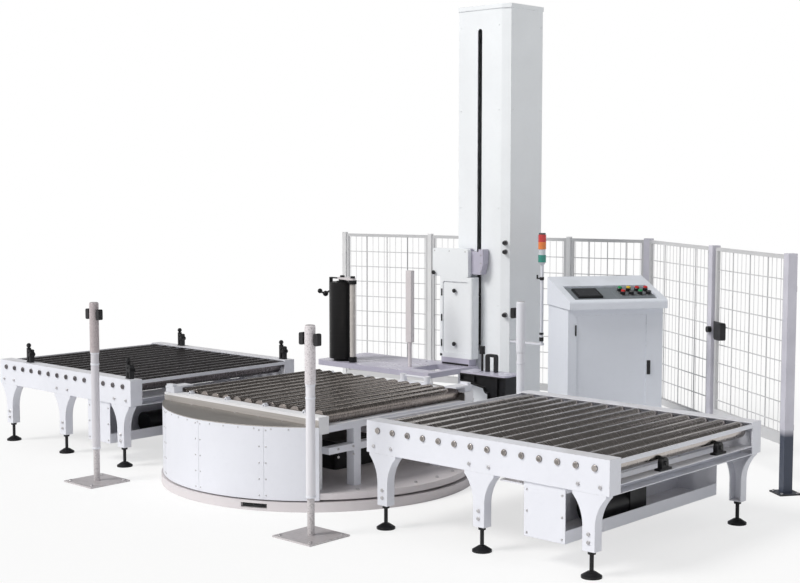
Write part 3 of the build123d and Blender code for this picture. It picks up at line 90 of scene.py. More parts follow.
class Graph:
    """A material's nodes, with short ways to add and join them."""

    def __init__(self, name):
        self.material = bpy.data.materials.new(name)
        self.material.use_nodes = True
        self.nodes = self.material.node_tree.nodes
        self.links = self.material.node_tree.links
        self.shader = self.nodes["Principled BSDF"]
        self.place = self.add("ShaderNodeTexCoord").outputs["Object"]

    def add(self, kind, **settings):
        node = self.nodes.new(kind)
        for key, value in settings.items():
            setattr(node, key, value)
        return node

    def join(self, source, target):
        self.links.new(source, target)

    def stretched(self, scale):
        """The object's coordinates, stretched by a factor on each axis."""
        mapping = self.add("ShaderNodeMapping")
        mapping.inputs["Scale"].default_value = scale
        self.join(self.place, mapping.inputs["Vector"])
        return mapping.outputs["Vector"]

    def noise(self, scale, detail=3.0, vector=None, roughness=0.55):
        node = self.add("ShaderNodeTexNoise")
        node.inputs["Scale"].default_value = scale
        node.inputs["Detail"].default_value = detail
        node.inputs["Roughness"].default_value = roughness
        self.join(vector or self.place, node.inputs["Vector"])
        return node.outputs["Fac"]

    def ranged(self, value, low, high, new_low=0.0, new_high=1.0):
        node = self.add("ShaderNodeMapRange")
        for name, number in zip(("From Min", "From Max", "To Min", "To Max"), (low, high, new_low, new_high)):
            node.inputs[name].default_value = number
        self.join(value, node.inputs["Value"])
        return node.outputs["Result"]

    def times(self, a, b):
        node = self.add("ShaderNodeMath", operation="MULTIPLY")
        self.join(a, node.inputs[0])
        if isinstance(b, (int, float)):
            node.inputs[1].default_value = b
        else:
            self.join(b, node.inputs[1])
        return node.outputs["Value"]

    def blend(self, factor, a, b):
        """A colour between a and b, each a colour or a socket."""
        node = self.add("ShaderNodeMix", data_type="RGBA")
        self.join(factor, node.inputs["Factor"])
        for value, socket in ((a, node.inputs["A"]), (b, node.inputs["B"])):
            if isinstance(value, (tuple, list)):
                socket.default_value = (*value, 1.0)
            else:
                self.join(value, socket)
        return node.outputs["Result"]

    def upward(self):
        """1 on faces that look up and 0 on the others."""
        geometry = self.add("ShaderNodeNewGeometry")
        split = self.add("ShaderNodeSeparateXYZ")
        self.join(geometry.outputs["Normal"], split.inputs["Vector"])
        return self.ranged(split.outputs["Z"], 0.6, 0.95)

    def along(self, axis, low, high):
        """0 up to the low coordinate on an axis and 1 from the high one."""
        split = self.add("ShaderNodeSeparateXYZ")
        self.join(self.place, split.inputs["Vector"])
        return self.ranged(split.outputs[axis], low, high)

    def height(self, low, high):
        return self.along("Z", low, high)

    def facing(self, axis):
        """1 on faces that look either way along an axis and 0 on the others."""
        geometry = self.add("ShaderNodeNewGeometry")
        split = self.add("ShaderNodeSeparateXYZ")
        self.join(geometry.outputs["Normal"], split.inputs["Vector"])
        size = self.add("ShaderNodeMath", operation="ABSOLUTE")
        self.join(split.outputs[axis], size.inputs[0])
        return self.ranged(size.outputs["Value"], 0.6, 0.8)

    def rounded(self, radius):
        """The normal with its sharp edges rounded, and how much an edge is worn."""
        bevel = self.add("ShaderNodeBevel", samples=4)
        bevel.inputs["Radius"].default_value = radius
        geometry = self.add("ShaderNodeNewGeometry")
        dot = self.add("ShaderNodeVectorMath", operation="DOT_PRODUCT")
        self.join(bevel.outputs["Normal"], dot.inputs[0])
        self.join(geometry.outputs["Normal"], dot.inputs[1])
        return bevel.outputs["Normal"], self.ranged(dot.outputs["Value"], 0.985, 0.90)

    def bumped(self, height, strength, distance, normal=None):
        bump = self.add("ShaderNodeBump")
        bump.inputs["Strength"].default_value = strength
        bump.inputs["Distance"].default_value = distance
        self.join(height, bump.inputs["Height"])
        if normal is not None:
            self.join(normal, bump.inputs["Normal"])
        self.join(bump.outputs["Normal"], self.shader.inputs["Normal"])

    def colour(self, socket):
        self.join(socket, self.shader.inputs["Base Color"])

    def rough(self, value, low, high):
        self.join(self.ranged(value, 0.3, 0.7, low, high), self.shader.inputs["Roughness"])


def scaled(colour, factor):
    return tuple(min(1.0, c * factor) for c in colour)


def paint(name, colour, rough=0.42, wear=(0.32, 0.31, 0.30), dust_and_shade=0.35, dust_and_shade_colour=None, edge=0.0022,
          specular=0.5):
    """Powder coat: faint clouds, orange peel, top faces darkened by dusting and by painted shade, and rubbed edges."""
    g = Graph(name)
    normal, edges = g.rounded(edge)
    clouds = g.noise(2.1, 4.0)
    base = g.blend(g.ranged(clouds, 0.3, 0.7), scaled(colour, 0.955), scaled(colour, 1.02))
    fine = g.noise(38.0, 5.0)
    base = g.blend(g.ranged(fine, 0.52, 0.78, 0.0, 0.16), base, scaled(colour, 0.86))
    # Painted shade and dusting: top faces darken towards a grey, as strongly as the amount given
    top_dust_and_shade = g.times(g.times(g.upward(), g.ranged(g.noise(6.0, 5.0), 0.25, 0.7)), dust_and_shade)
    base = g.blend(top_dust_and_shade, base, dust_and_shade_colour or scaled(colour, 0.78))
    rubbed = g.times(g.times(edges, g.ranged(g.noise(55.0, 4.0), 0.50, 0.64)), 0.7)
    g.colour(g.blend(rubbed, base, wear))
    g.rough(g.noise(9.0, 3.0), rough - 0.07, rough + 0.09)
    g.bumped(g.noise(900.0, 2.0), 0.16, 0.0004, normal)
    g.shader.inputs["Specular IOR Level"].default_value = specular
    return g.material


def steel(name, colour, rough, stretch, edge=0.002, contrast=0.3, bump=0.1):
    """Metal with brush marks that run across the stretched axis."""
    g = Graph(name)
    normal, edges = g.rounded(edge)
    marks = g.noise(1.0, 4.0, g.stretched(stretch), 0.7)
    stains = g.noise(5.0, 4.0)
    base = g.blend(g.ranged(marks, 0.3, 0.7), scaled(colour, 1 - contrast), scaled(colour, 1 + contrast))
    base = g.blend(g.ranged(stains, 0.45, 0.8, 0.0, 0.4), base, scaled(colour, 0.62))
    g.colour(g.blend(g.times(edges, 0.5), base, scaled(colour, 1.7)))
    g.shader.inputs["Metallic"].default_value = 1.0
    g.rough(marks, rough - 0.06, rough + 0.12)
    g.bumped(marks, bump, 0.0004, normal)
    return g.material


def plastic(name, colour, rough, grain=650.0, bump=0.25, edge=0.0015):
    """Moulded plastic with a fine grain and dull, slightly paler scuffs."""
    g = Graph(name)
    normal, edges = g.rounded(edge)
    scuffs = g.noise(24.0, 5.0)
    base = g.blend(g.ranged(scuffs, 0.5, 0.75, 0.0, 0.5), colour, tuple(c * 1.5 + 0.015 for c in colour))
    g.colour(g.blend(g.times(edges, 0.35), base, tuple(c * 1.8 + 0.04 for c in colour)))
    g.rough(scuffs, rough - 0.06, rough + 0.1)
    g.bumped(g.noise(grain, 2.0), bump, 0.0003, normal)
    return g.material


def film(name):
    """Wound black film: thin layers that show as faint bands, with a soft gloss."""
    g = Graph(name)
    bands = g.noise(1.0, 5.0, g.stretched((3.0, 3.0, 170.0)), 0.75)
    creases = g.noise(1.0, 3.0, g.stretched((26.0, 26.0, 5.0)))
    base = g.blend(g.ranged(bands, 0.3, 0.7), (0.002, 0.002, 0.0022), (0.007, 0.006, 0.007))
    g.colour(base)
    g.rough(creases, 0.30, 0.48)
    g.bumped(g.times(bands, creases), 0.35, 0.0012)
    g.shader.inputs["Specular IOR Level"].default_value = 0.3
    return g.material


def lamp_stack(name):
    """Signal lamps: green below a white spacer, then amber, red and a dark cap."""
    g = Graph(name)
    ribs = g.noise(1.0, 2.0, g.stretched((5.0, 5.0, 420.0)))
    colour = (0.01, 0.26, 0.20)
    for level, upper in ((1.174, (0.62, 0.66, 0.70)), (1.208, (0.80, 0.20, 0.02)), (1.252, (0.62, 0.02, 0.02)),
                         (1.296, (0.05, 0.05, 0.055))):
        colour = g.blend(g.height(level - 0.0005, level + 0.0005), colour, upper)
    shade = g.blend(g.ranged(ribs, 0.3, 0.7, 0.0, 0.3), colour, (0.02, 0.02, 0.02))
    g.colour(shade)
    # Painted glow: every band glows faintly in its own colour, also the white spacer and the dark cap
    g.join(colour, g.shader.inputs["Emission Color"])
    g.shader.inputs["Emission Strength"].default_value = 0.10
    g.rough(ribs, 0.14, 0.28)
    g.bumped(ribs, 0.3, 0.0006)
    g.shader.inputs["Coat Weight"].default_value = 0.5
    g.shader.inputs["Coat Roughness"].default_value = 0.08
    return g.material


def glass(name, colour):
    """Dark screen or lens behind glass."""
    g = Graph(name)
    haze = g.noise(30.0, 3.0)
    g.colour(g.blend(g.ranged(haze, 0.4, 0.7), colour, scaled(colour, 1.4)))
    g.rough(haze, 0.06, 0.16)
    g.shader.inputs["Coat Weight"].default_value = 1.0
    g.shader.inputs["Coat Roughness"].default_value = 0.03
    return g.material


def post_paint(name):
    """Light barrier posts: a white sleeve and a speckled head, greyer on the left post, white on the far one."""
    g = Graph(name)
    normal, edges = g.rounded(0.0018)
    streaks = g.noise(1.0, 4.0, g.stretched((60.0, 60.0, 3.0)))
    specks = g.noise(130.0, 4.0, roughness=0.7)
    speckled = g.ranged(specks, 0.5, 0.62, 0.0, 0.6)
    right = g.along("X", -0.1, 0.1)
    head = g.blend(speckled, g.blend(right, (0.50, 0.44, 0.45), (0.74, 0.70, 0.72)), (0.30, 0.27, 0.28))
    foot = g.blend(speckled, (0.60, 0.57, 0.58), (0.26, 0.24, 0.25))
    sleeve = g.blend(right, (0.66, 0.64, 0.68), (0.78, 0.77, 0.81))
    sleeve = g.blend(g.ranged(streaks, 0.35, 0.75, 0.0, 0.35), sleeve, (0.52, 0.50, 0.54))
    base = g.blend(g.height(0.176, 0.182), foot, sleeve)
    base = g.blend(g.height(0.702, 0.706), base, head)
    base = g.blend(g.along("Y", -0.1, 0.1), base, (0.80, 0.81, 0.87))
    brushed = g.noise(1.0, 4.0, g.stretched((8.0, 160.0, 8.0)), 0.7)
    plate = g.blend(g.ranged(brushed, 0.3, 0.7), (0.30, 0.28, 0.285), (0.46, 0.43, 0.44))
    base = g.blend(g.times(g.upward(), 0.95), base, plate)
    g.colour(g.blend(g.times(edges, 0.4), base, (0.35, 0.34, 0.33)))
    g.rough(streaks, 0.32, 0.48)
    g.bumped(specks, 0.15, 0.0005, normal)
    return g.material


def rail_paint(name):
    """Rails of the deck: white on top and at the ends; the sides grey-brown with brush marks, as painted shade."""
    g = Graph(name)
    normal, edges = g.rounded(0.0022)
    marks = g.noise(1.0, 4.0, g.stretched((3.0, 40.0, 120.0)), 0.7)
    # Painted shade: faces along Y below the top are grey-brown with brush marks, darker than the white top
    side = g.blend(g.ranged(marks, 0.3, 0.7), (0.34, 0.32, 0.305), (0.48, 0.455, 0.44))
    clouds = g.noise(3.0, 4.0)
    top = g.blend(g.ranged(clouds, 0.3, 0.7), (0.78, 0.78, 0.81), (0.86, 0.86, 0.88))
    base = g.blend(g.times(g.facing("Y"), g.height(0.453, 0.451)), top, side)
    g.colour(g.blend(g.times(edges, 0.3), base, (0.60, 0.59, 0.58)))
    g.rough(marks, 0.34, 0.50)
    g.bumped(marks, 0.08, 0.0004, normal)
    return g.material


def fence_paint(name):
    """Fence posts: white at the back, lilac grey at the side, and painted dark navy shade low on the last one."""
    g = Graph(name)
    normal, edges = g.rounded(0.002)
    clouds = g.noise(7.0, 4.0)
    pale = g.blend(g.ranged(clouds, 0.3, 0.7), (0.74, 0.74, 0.75), (0.82, 0.82, 0.82))
    lilac = g.blend(g.ranged(clouds, 0.3, 0.7), (0.56, 0.55, 0.62), (0.66, 0.65, 0.72))
    base = g.blend(g.along("X", 0.3, 0.4), pale, lilac)
    # Painted shade: the last post turns dark navy below about 0.32 m
    low = g.times(g.height(0.34, 0.30), g.along("X", 1.9, 1.95))
    base = g.blend(low, base, (0.045, 0.055, 0.085))
    plate = g.times(g.height(0.0085, 0.0075), g.along("X", 1.9, 1.95))
    base = g.blend(plate, base, (0.02, 0.02, 0.022))
    rubbed = g.times(g.times(edges, g.ranged(g.noise(55.0, 4.0), 0.50, 0.64)), 0.5)
    g.colour(g.blend(rubbed, base, (0.32, 0.31, 0.30)))
    g.rough(clouds, 0.36, 0.5)
    g.bumped(g.noise(800.0, 2.0), 0.14, 0.0004, normal)
    return g.material


def make_materials():
    """Every finish, by the name of its material slot in the record, and some more for small parts."""
    return {
        # Strong grey top darkening on the white paint: painted shade on the rails' top flanges, with some dusting
        "white_paint": paint("white_paint", (0.775, 0.785, 0.845), dust_and_shade=0.7, dust_and_shade_colour=(0.56, 0.54, 0.54)),
        "pale_grey_paint": paint("pale_grey_paint", (0.70, 0.66, 0.675), dust_and_shade=0.4),
        "dark_grey_paint": paint("dark_grey_paint", (0.09, 0.10, 0.12)),
        "mast_paint": paint("mast_paint", (0.90, 0.925, 0.95), rough=0.36, dust_and_shade=0.2),
        "console_paint": paint("console_paint", (0.78, 0.81, 0.88), rough=0.36, dust_and_shade=0.35,
                               dust_and_shade_colour=(0.50, 0.53, 0.54)),
        "fence_paint": fence_paint("fence_paint"),
        "lilac_paint": paint("lilac_paint", (0.52, 0.50, 0.60), rough=0.3),
        "black_metal": paint("black_metal", (0.010, 0.010, 0.012), wear=(0.12, 0.12, 0.12), dust_and_shade=0.06,
                             dust_and_shade_colour=(0.05, 0.05, 0.05), specular=0.3),
        # One roller steel in three brightnesses: the darker deck and infeed copies are painted shade
        "roller_steel": steel("roller_steel", (0.52, 0.48, 0.455), 0.20, (3.0, 90.0, 3.0), contrast=0.10, bump=0.03),
        "roller_deck_painted_shade": steel("roller_deck_painted_shade", (0.36, 0.32, 0.295), 0.22, (3.0, 90.0, 3.0), contrast=0.14, bump=0.03),
        "roller_infeed_painted_shade": steel("roller_infeed_painted_shade", (0.17, 0.155, 0.16), 0.26, (3.0, 90.0, 3.0), contrast=0.14, bump=0.03),
        "brushed_plate": steel("brushed_plate", (0.50, 0.475, 0.45), 0.5, (9.0, 320.0, 9.0), contrast=0.12),
        "mesh_wire": paint("mesh_wire", (0.60, 0.60, 0.61), rough=0.4, edge=0.0008),
        "black_plastic": plastic("black_plastic", (0.008, 0.008, 0.010), 0.5),
        "film_black": film("film_black"),
        "rubber_roller": plastic("rubber_roller", (0.56, 0.53, 0.50), 0.5, grain=300.0),
        "zinc": steel("zinc", (0.55, 0.54, 0.55), 0.38, (90.0, 90.0, 90.0), contrast=0.12),
        "dark_zinc": steel("dark_zinc", (0.30, 0.30, 0.31), 0.4, (90.0, 90.0, 90.0), contrast=0.15),
        "post_paint": post_paint("post_paint"),
        "rail_paint": rail_paint("rail_paint"),
        "lamp_stack": lamp_stack("lamp_stack"),
        "button_red": plastic("button_red", (0.55, 0.02, 0.02), 0.3),
        "button_green": plastic("button_green", (0.02, 0.30, 0.10), 0.3),
        "button_yellow": plastic("button_yellow", (0.75, 0.50, 0.03), 0.3),
        "screen": glass("screen", (0.012, 0.014, 0.018)),
        "panel_grey": paint("panel_grey", (0.20, 0.22, 0.24), rough=0.5),
    }


MATERIALS = make_materials()

# Finishes that differ from the one of the node's slot in the record
OWN_FINISH = {
    "barrier_posts": "post_paint",
    "signal_lamps": "lamp_stack",
    "deck_rails": "rail_paint",
    # Deck and infeed rollers take the darker steel copies: painted shade
    "deck_rollers": "roller_deck_painted_shade",
    "infeed_rollers": "roller_infeed_painted_shade",
    "carriage_housing": "mast_paint",
}


def dress_nodes():
    """Give every solid its finish, by its material slot."""
    slots = {row["node"]: row["material_slot"] for row in frame["record"]["subparts"]}
    for name, node in frame["nodes"].items():
        material = MATERIALS[OWN_FINISH.get(name, slots[name])]
        node.data.materials.clear()
        node.data.materials.append(material)


class Shape:
    """A mesh under construction, joined from small parts."""

    def __init__(self):
        self.mesh = bmesh.new()

    def box(self, low, high, place=Matrix()):
        size = Vector(high) - Vector(low)
        centre = (Vector(high) + Vector(low)) / 2
        matrix = place @ Matrix.Translation(centre) @ Matrix.Diagonal((*size, 1.0))
        bmesh.ops.create_cube(self.mesh, size=1.0, matrix=matrix)
        return self

    def rod(self, start, end, radius, sides=16, end_radius=None, place=Matrix()):
        """A round or many-sided bar between two points."""
        a = Vector(start)
        b = Vector(end)
        turn = (b - a).to_track_quat("Z", "Y").to_matrix().to_4x4()
        matrix = place @ Matrix.Translation((a + b) / 2) @ turn
        top = radius if end_radius is None else end_radius
        bmesh.ops.create_cone(
            self.mesh, cap_ends=True, segments=sides, radius1=radius, radius2=top, depth=(b - a).length, matrix=matrix
        )
        return self

    def lathe(self, profile, place=Matrix(), sides=32):
        """(radius, height) points turned about the Z axis of a place."""
        rings = []
        for radius, height in profile:
            count = sides if radius > 0 else 1
            ring = []
            for i in range(count):
                angle = 2 * math.pi * i / sides
                point = Vector((radius * math.cos(angle), radius * math.sin(angle), height))
                ring.append(self.mesh.verts.new(place @ point))
            rings.append(ring)
        for lower, upper in zip(rings, rings[1:]):
            self.skin(lower, upper, sides)
        return self

    def skin(self, lower, upper, sides):
        """Faces between two rings, where either may be a single point."""
        if len(lower) == 1 and len(upper) == 1:
            return
        for i in range(sides):
            j = (i + 1) % sides
            corners = []
            for ring, order in ((lower, (i, j)), (upper, (j, i))):
                corners += [ring[0]] if len(ring) == 1 else [ring[k] for k in order]
            self.mesh.faces.new(corners)

    def bolt(self, point, axis, size=0.008, washer=True):
        """A hexagon head on a washer, standing on a face. Size is the thread."""
        a = Vector(point)
        n = Vector(axis).normalized()
        if washer:
            self.rod(a, a + n * size * 0.2, size * 1.1, 20)
        self.rod(a + n * size * 0.15, a + n * size * 0.85, size * 0.95, 6)
        return self

    def screw(self, point, axis, size=0.006):
        """A round button head with a socket."""
        a = Vector(point)
        turn = Vector(axis).to_track_quat("Z", "Y").to_matrix().to_4x4()
        r = size
        profile = [(0, 0.15 * r), (0.35 * r, 0.15 * r), (0.4 * r, 0.6 * r), (0.75 * r, 0.5 * r), (r, 0.1 * r), (r, -0.1 * r)]
        self.lathe(profile, Matrix.Translation(a) @ turn, 16)
        return self

    def done(self, name, material, body, slot=None, bevel=0.0008, segments=2):
        """Make the piece, round its edges and let it ride on its body."""
        bmesh.ops.recalc_face_normals(self.mesh, faces=self.mesh.faces)
        data = bpy.data.meshes.new(name)
        self.mesh.to_mesh(data)
        self.mesh.free()
        piece = bpy.data.objects.new(name, data)
        bpy.context.scene.collection.objects.link(piece)
        data.materials.append(MATERIALS[material])
        data.shade_smooth()
        data.set_sharp_from_angle(angle=SHARP_ANGLE)
        if bevel:
            rounding = piece.modifiers.new("rounding", "BEVEL")
            rounding.width = bevel
            rounding.segments = segments
            rounding.limit_method = "ANGLE"
            rounding.angle_limit = BEVEL_ANGLE
            rounding.harden_normals = True
        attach(piece, body)
        return piece


def spread(low, high, count):
    """Evenly spaced numbers from low to high."""
    if count == 1:
        return [(low + high) / 2]
    return [low + (high - low) * i / (count - 1) for i in range(count)]


def conveyor_trim(side):
    """Nuts, roller ends and bolts of one conveyor."""
    low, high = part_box(side + "_rails")
    roller_low, roller_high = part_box(side + "_rollers")
    radius = 0.038
    places = spread(roller_low.x + radius, roller_high.x - radius, ROLLERS_PER_CONVEYOR)
    axle_z = roller_high.z - radius
    nuts = Shape()
    caps = Shape()
    for x in places:
        for end in (-1, 1):
            face = end * high.y
            axis = Vector((0, end, 0))
            nuts.rod((x, face, axle_z), (x, face + end * 0.0018, axle_z), 0.0150, 24)
            nuts.rod((x, face, axle_z), (x, face + end * 0.007, axle_z), 0.0125, 6)
            turn = axis.to_track_quat("Z", "Y").to_matrix().to_4x4()
            tube_end = high.y - 0.085
            cap = [(0.009, 0.0035), (0.017, 0.0035), (0.018, 0.001), (0.030, 0.001), (0.0315, 0.003), (0.0372, 0.003),
                   (0.0372, -0.002), (0.009, -0.002)]
            caps.lathe(cap, Matrix.Translation((x, end * tube_end, axle_z)) @ turn, 28)
    nuts.done(side + "_axle_nuts", "dark_zinc", "plant", bevel=0.0006)
    caps.done(side + "_roller_caps", "black_plastic", "plant", bevel=0)

    bolts = Shape()
    leg_low, leg_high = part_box(side + "_legs")
    legs_x = spread(leg_low.x + 0.0825, leg_high.x - 0.0825, 3)
    for x in legs_x:
        for end in (-1, 1):
            for dx in (-0.055, 0.055):
                bolts.bolt((x + dx, end * high.y, low.z + 0.032), (0, end, 0), 0.008)
            for z in (0.150, 0.185):
                bolts.bolt((x, end * high.y, z), (0, end, 0), 0.008)
    bolts.done(side + "_leg_bolts", "zinc", "plant", bevel=0.0005)


def fence_wires(node, body, name):
    """Upright wires of a mesh panel, welded behind the crossing wires."""
    obj = frame["nodes"][node]
    points = [v.co for v in obj.data.vertices]
    low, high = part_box(node)
    top = high.z
    start = min((p for p in points if abs(p.z - top) < 0.001), key=lambda p: p.x)
    end = max((p for p in points if abs(p.z - top) < 0.001), key=lambda p: p.x)
    line = Vector((end.x - start.x, end.y - start.y, 0))
    length = line.length
    along = line.normalized()
    across = Vector((-along.y, along.x, 0))
    middle = Vector(((start.x + end.x) / 2, (start.y + end.y) / 2, 0))
    wires = Shape()
    count = int(length / WIRE_PITCH)
    inset = 0.006
    for x in spread(-length / 2 + WIRE_PITCH * 0.6, length / 2 - WIRE_PITCH * 0.6, count):
        foot = middle + along * x + across * 0.0
        wires.rod(foot + Vector((0, 0, low.z + inset)), foot + Vector((0, 0, top - inset)), WIRE_RADIUS, 6)
    wires.done(name, "mesh_wire", body, bevel=0)


def add_fence():
    for number in range(1, 5):
        fence_wires("fence_panel_" + str(number), "plant", "fence_wires_" + str(number))
    fence_wires("fence_door", "fence_door", "door_wires")


def turned(angle, distance, height):
    """Place on the turntable: X outward at an angle, Y along the rim."""
    return Matrix.Rotation(angle, 4, "Z") @ Matrix.Translation((distance, 0, height))


def drive_cover_screws(side):
    """Screws at the corners of a conveyor's drive cover, on both of its ends."""
    low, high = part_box(side + "_drive_cover")
    screws = Shape()
    for x in (low.x + 0.016, high.x - 0.016):
        for z in (low.z + 0.016, low.z + 0.110, high.z - 0.034):
            screws.screw((x, low.y, z), (0, -1, 0), 0.0055)
            screws.screw((x, high.y, z), (0, 1, 0), 0.0055)
    screws.done(side + "_cover_screws", "zinc", "plant", bevel=0)


def end_bearings():
    """Two black flange bearings on the channel in the outfeed's end gap, with their shaft ends."""
    low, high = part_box("outfeed_cross_tubes")
    bearings = Shape()
    seat = 0.394
    for y in (0.274, -0.186):
        bearings.box((high.x - 0.040, y - 0.045, seat), (high.x - 0.008, y + 0.045, seat + 0.009))
        bearings.box((high.x - 0.036, y - 0.026, seat + 0.007), (high.x - 0.012, y + 0.026, seat + 0.030))
        bearings.rod((high.x - 0.036, y, seat + 0.030), (high.x - 0.012, y, seat + 0.030), 0.026, 28)
        bearings.rod((high.x - 0.042, y, seat + 0.030), (high.x - 0.004, y, seat + 0.030), 0.011, 20)
    bearings.done("outfeed_bearings", "black_metal", "plant", bevel=0.0015)


def sensor_brackets():
    """Photo sensors of the infeed: a stem with a knob beside an upturned strap."""
    brackets = Shape()
    rail_top = 0.504
    for x, y in SENSORS:
        place = Matrix.Translation((x, y, rail_top))
        brackets.box((-0.023, -0.015, 0), (0.023, 0.015, 0.006), place)
        brackets.box((-0.023, -0.012, 0), (-0.006, 0.012, 0.090), place)
        brackets.box((0.008, -0.015, 0), (0.023, 0.015, 0.078), place)
        brackets.box((-0.008, -0.015, 0.066), (0.018, 0.015, 0.080), place)
        knob = [(0, 0.086), (0.007, 0.086), (0.007, 0.092), (0.0125, 0.096), (0.0145, 0.103), (0.0125, 0.112),
                (0.006, 0.1175), (0, 0.118)]
        brackets.lathe(knob, place @ Matrix.Translation((-0.0145, 0, 0)), 24)
        turn = Matrix.Rotation(math.radians(90), 4, "X")
        eye = [(0, -0.020), (0.012, -0.020), (0.013, -0.018), (0.013, 0.018), (0.012, 0.020), (0, 0.020)]
        brackets.lathe(eye, place @ Matrix.Translation((0.015, 0, 0.050)) @ turn, 24)
    piece = brackets.done("sensor_brackets", "black_plastic", "plant", slot="black_plastic", bevel=0.0025, segments=3)
    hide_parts("infeed_sensors")


def skirt_trim():
    """Seams and screws of the two skirts, and the screws of their covers."""
    strips = Shape()
    screws = Shape()
    for middle in (-90, 90):
        for offset in (-27, 0, 27):
            angle = math.radians(middle + offset)
            strips.box((-0.002, -0.007, -0.178), (0.0010, 0.007, 0.178), turned(angle, SKIRT_RADIUS, 0.236))
            for height in spread(0.075, 0.400, 5):
                for side in (-0.018, 0.018):
                    at = turned(angle, SKIRT_RADIUS, height) @ Vector((0, side, 0))
                    screws.screw(at, (math.cos(angle), math.sin(angle), 0), 0.0040)
        for offset in spread(-42, 42, 15):
            angle = math.radians(middle + offset)
            at = turned(angle, SKIRT_RADIUS, 0.407) @ Vector((0, 0, 0))
            screws.screw(at, (math.cos(angle), math.sin(angle), 0), 0.0040)
        side = math.copysign(1, middle)
        for x in spread(-0.54, 0.54, 7):
            screws.screw((x, side * 0.602, 0.422), (0, 0, 1), 0.0050)
    strips.done("skirt_seams", "white_paint", "turntable", slot="white_paint", bevel=0.0004)
    screws.done("skirt_screws", "zinc", "turntable", bevel=0)


def deck_trim():
    """Guide blocks and clips on the deck's rails, the bolts of the platform and the end frames, and black blocks in
    the ring's slots as painted shadow.
    """
    low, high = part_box("deck_rails")
    top = high.z
    blocks = Shape()
    for side, end in ((-1, -1), (1, 1)):
        x0, x1 = sorted((end * 0.604, end * 0.528))
        blocks.box((x0, side * 0.556 - 0.028, top), (x1, side * 0.556 + 0.028, top + 0.026))
        y0, y1 = sorted((side * 0.586, side * 0.452))
        blocks.box((x0, y0, top + 0.024), (x1, y1, top + 0.034))
        rib0, rib1 = sorted((side * 0.586, side * 0.560))
        blocks.box((x0 + 0.010, rib0, top + 0.032), (x1 - 0.010, rib1, top + 0.046))
        for x in (-0.445, -0.145, 0.155, 0.455):
            y0, y1 = sorted((side * 0.519, side * 0.545))
            blocks.box((x - 0.012, y0, top), (x + 0.012, y1, top + 0.009))
            blocks.box((x - 0.005, y0, top), (x + 0.005, y1, top + 0.016))
    blocks.done("deck_guides", "white_paint", "turntable", slot="white_paint", bevel=0.0015)
    bolts = Shape()
    for middle in (0, 180):
        for offset in (-30, -18, -6, 6, 18, 30):
            angle = math.radians(middle + offset)
            bolts.bolt(turned(angle, 0.795, 0.090) @ Vector((0, 0, 0)), (0, 0, 1), 0.009)
    for end in (-1, 1):
        for y in (-0.455, -0.35, 0.35, 0.455):
            for z in (0.110, 0.150):
                bolts.bolt((end * 0.610, y, z + 0.142), (end, 0, 0), 0.006)
    bolts.done("platform_bolts", "zinc", "turntable", bevel=0.0005)
    # Painted shadow: black blocks set into the ring's slots stand in for the shade in their recesses
    slot_shadow = Shape()
    for angle in (math.radians(-66), math.radians(114)):
        slot_shadow.box((-0.006, -0.066, -0.010), (0.002, 0.066, 0.010), turned(angle, 0.842, 0.024))
        slot_shadow.rod((0, -0.045, 0), (0, 0.045, 0), 0.005, 12, place=turned(angle, 0.846, 0.024))
    slot_shadow.done("ring_slot_shadow_blocks", "black_plastic", "plant", slot="black_plastic", bevel=0.0006)


def mast_trim():
    """Anchors, panel screws and the bezels of the push buttons."""
    anchors = Shape()
    for dx in (-0.230, 0.230):
        for dy in (-0.198, 0.198):
            x, y = MAST_MIDDLE[0] + dx, MAST_MIDDLE[1] + dy
            anchors.rod((x, y, 0.002), (x, y, 0.052), 0.0078, 20)
            anchors.rod((x, y, 0.016), (x, y, 0.019), 0.019, 28)
            anchors.rod((x, y, 0.018), (x, y, 0.032), 0.0135, 6)
    anchors.done("mast_anchor_bolts", "zinc", "plant", bevel=0.0007)
    screws = Shape()
    for z in (0.25, 0.85, 1.45, 2.05, 2.56):
        for x in (-0.172, 0.130):
            screws.screw((x, 1.400, z), (0, -1, 0), 0.0045)
        for y in (1.440, 1.712):
            screws.screw((0.206, y, z), (1, 0, 0), 0.0045)
            screws.screw((-0.190, y, z), (-1, 0, 0), 0.0045)
        for x in (-0.165, 0.181):
            screws.screw((x, 1.732, z), (0, 1, 0), 0.0045)
    screws.done("mast_screws", "mast_paint", "plant", slot="mast_paint", bevel=0)
    bezels = Shape()
    normal = Vector((0.331, -0.944, 0))
    for z in (1.239, 1.184, 0.796):
        foot = Vector((0.1775, 1.410, z))
        bezels.rod(foot - normal * 0.001, foot + normal * 0.004, 0.0165, 28)
        bezels.rod(foot + normal * 0.003, foot + normal * 0.010, 0.0142, 28)
    bezels.rod((0.205, 1.445, 0.796), (0.210, 1.445, 0.796), 0.0165, 28)
    bezels.rod((0.209, 1.445, 0.796), (0.216, 1.445, 0.796), 0.0142, 28)
    bezels.done("mast_button_rings", "dark_zinc", "plant", bevel=0.0006)


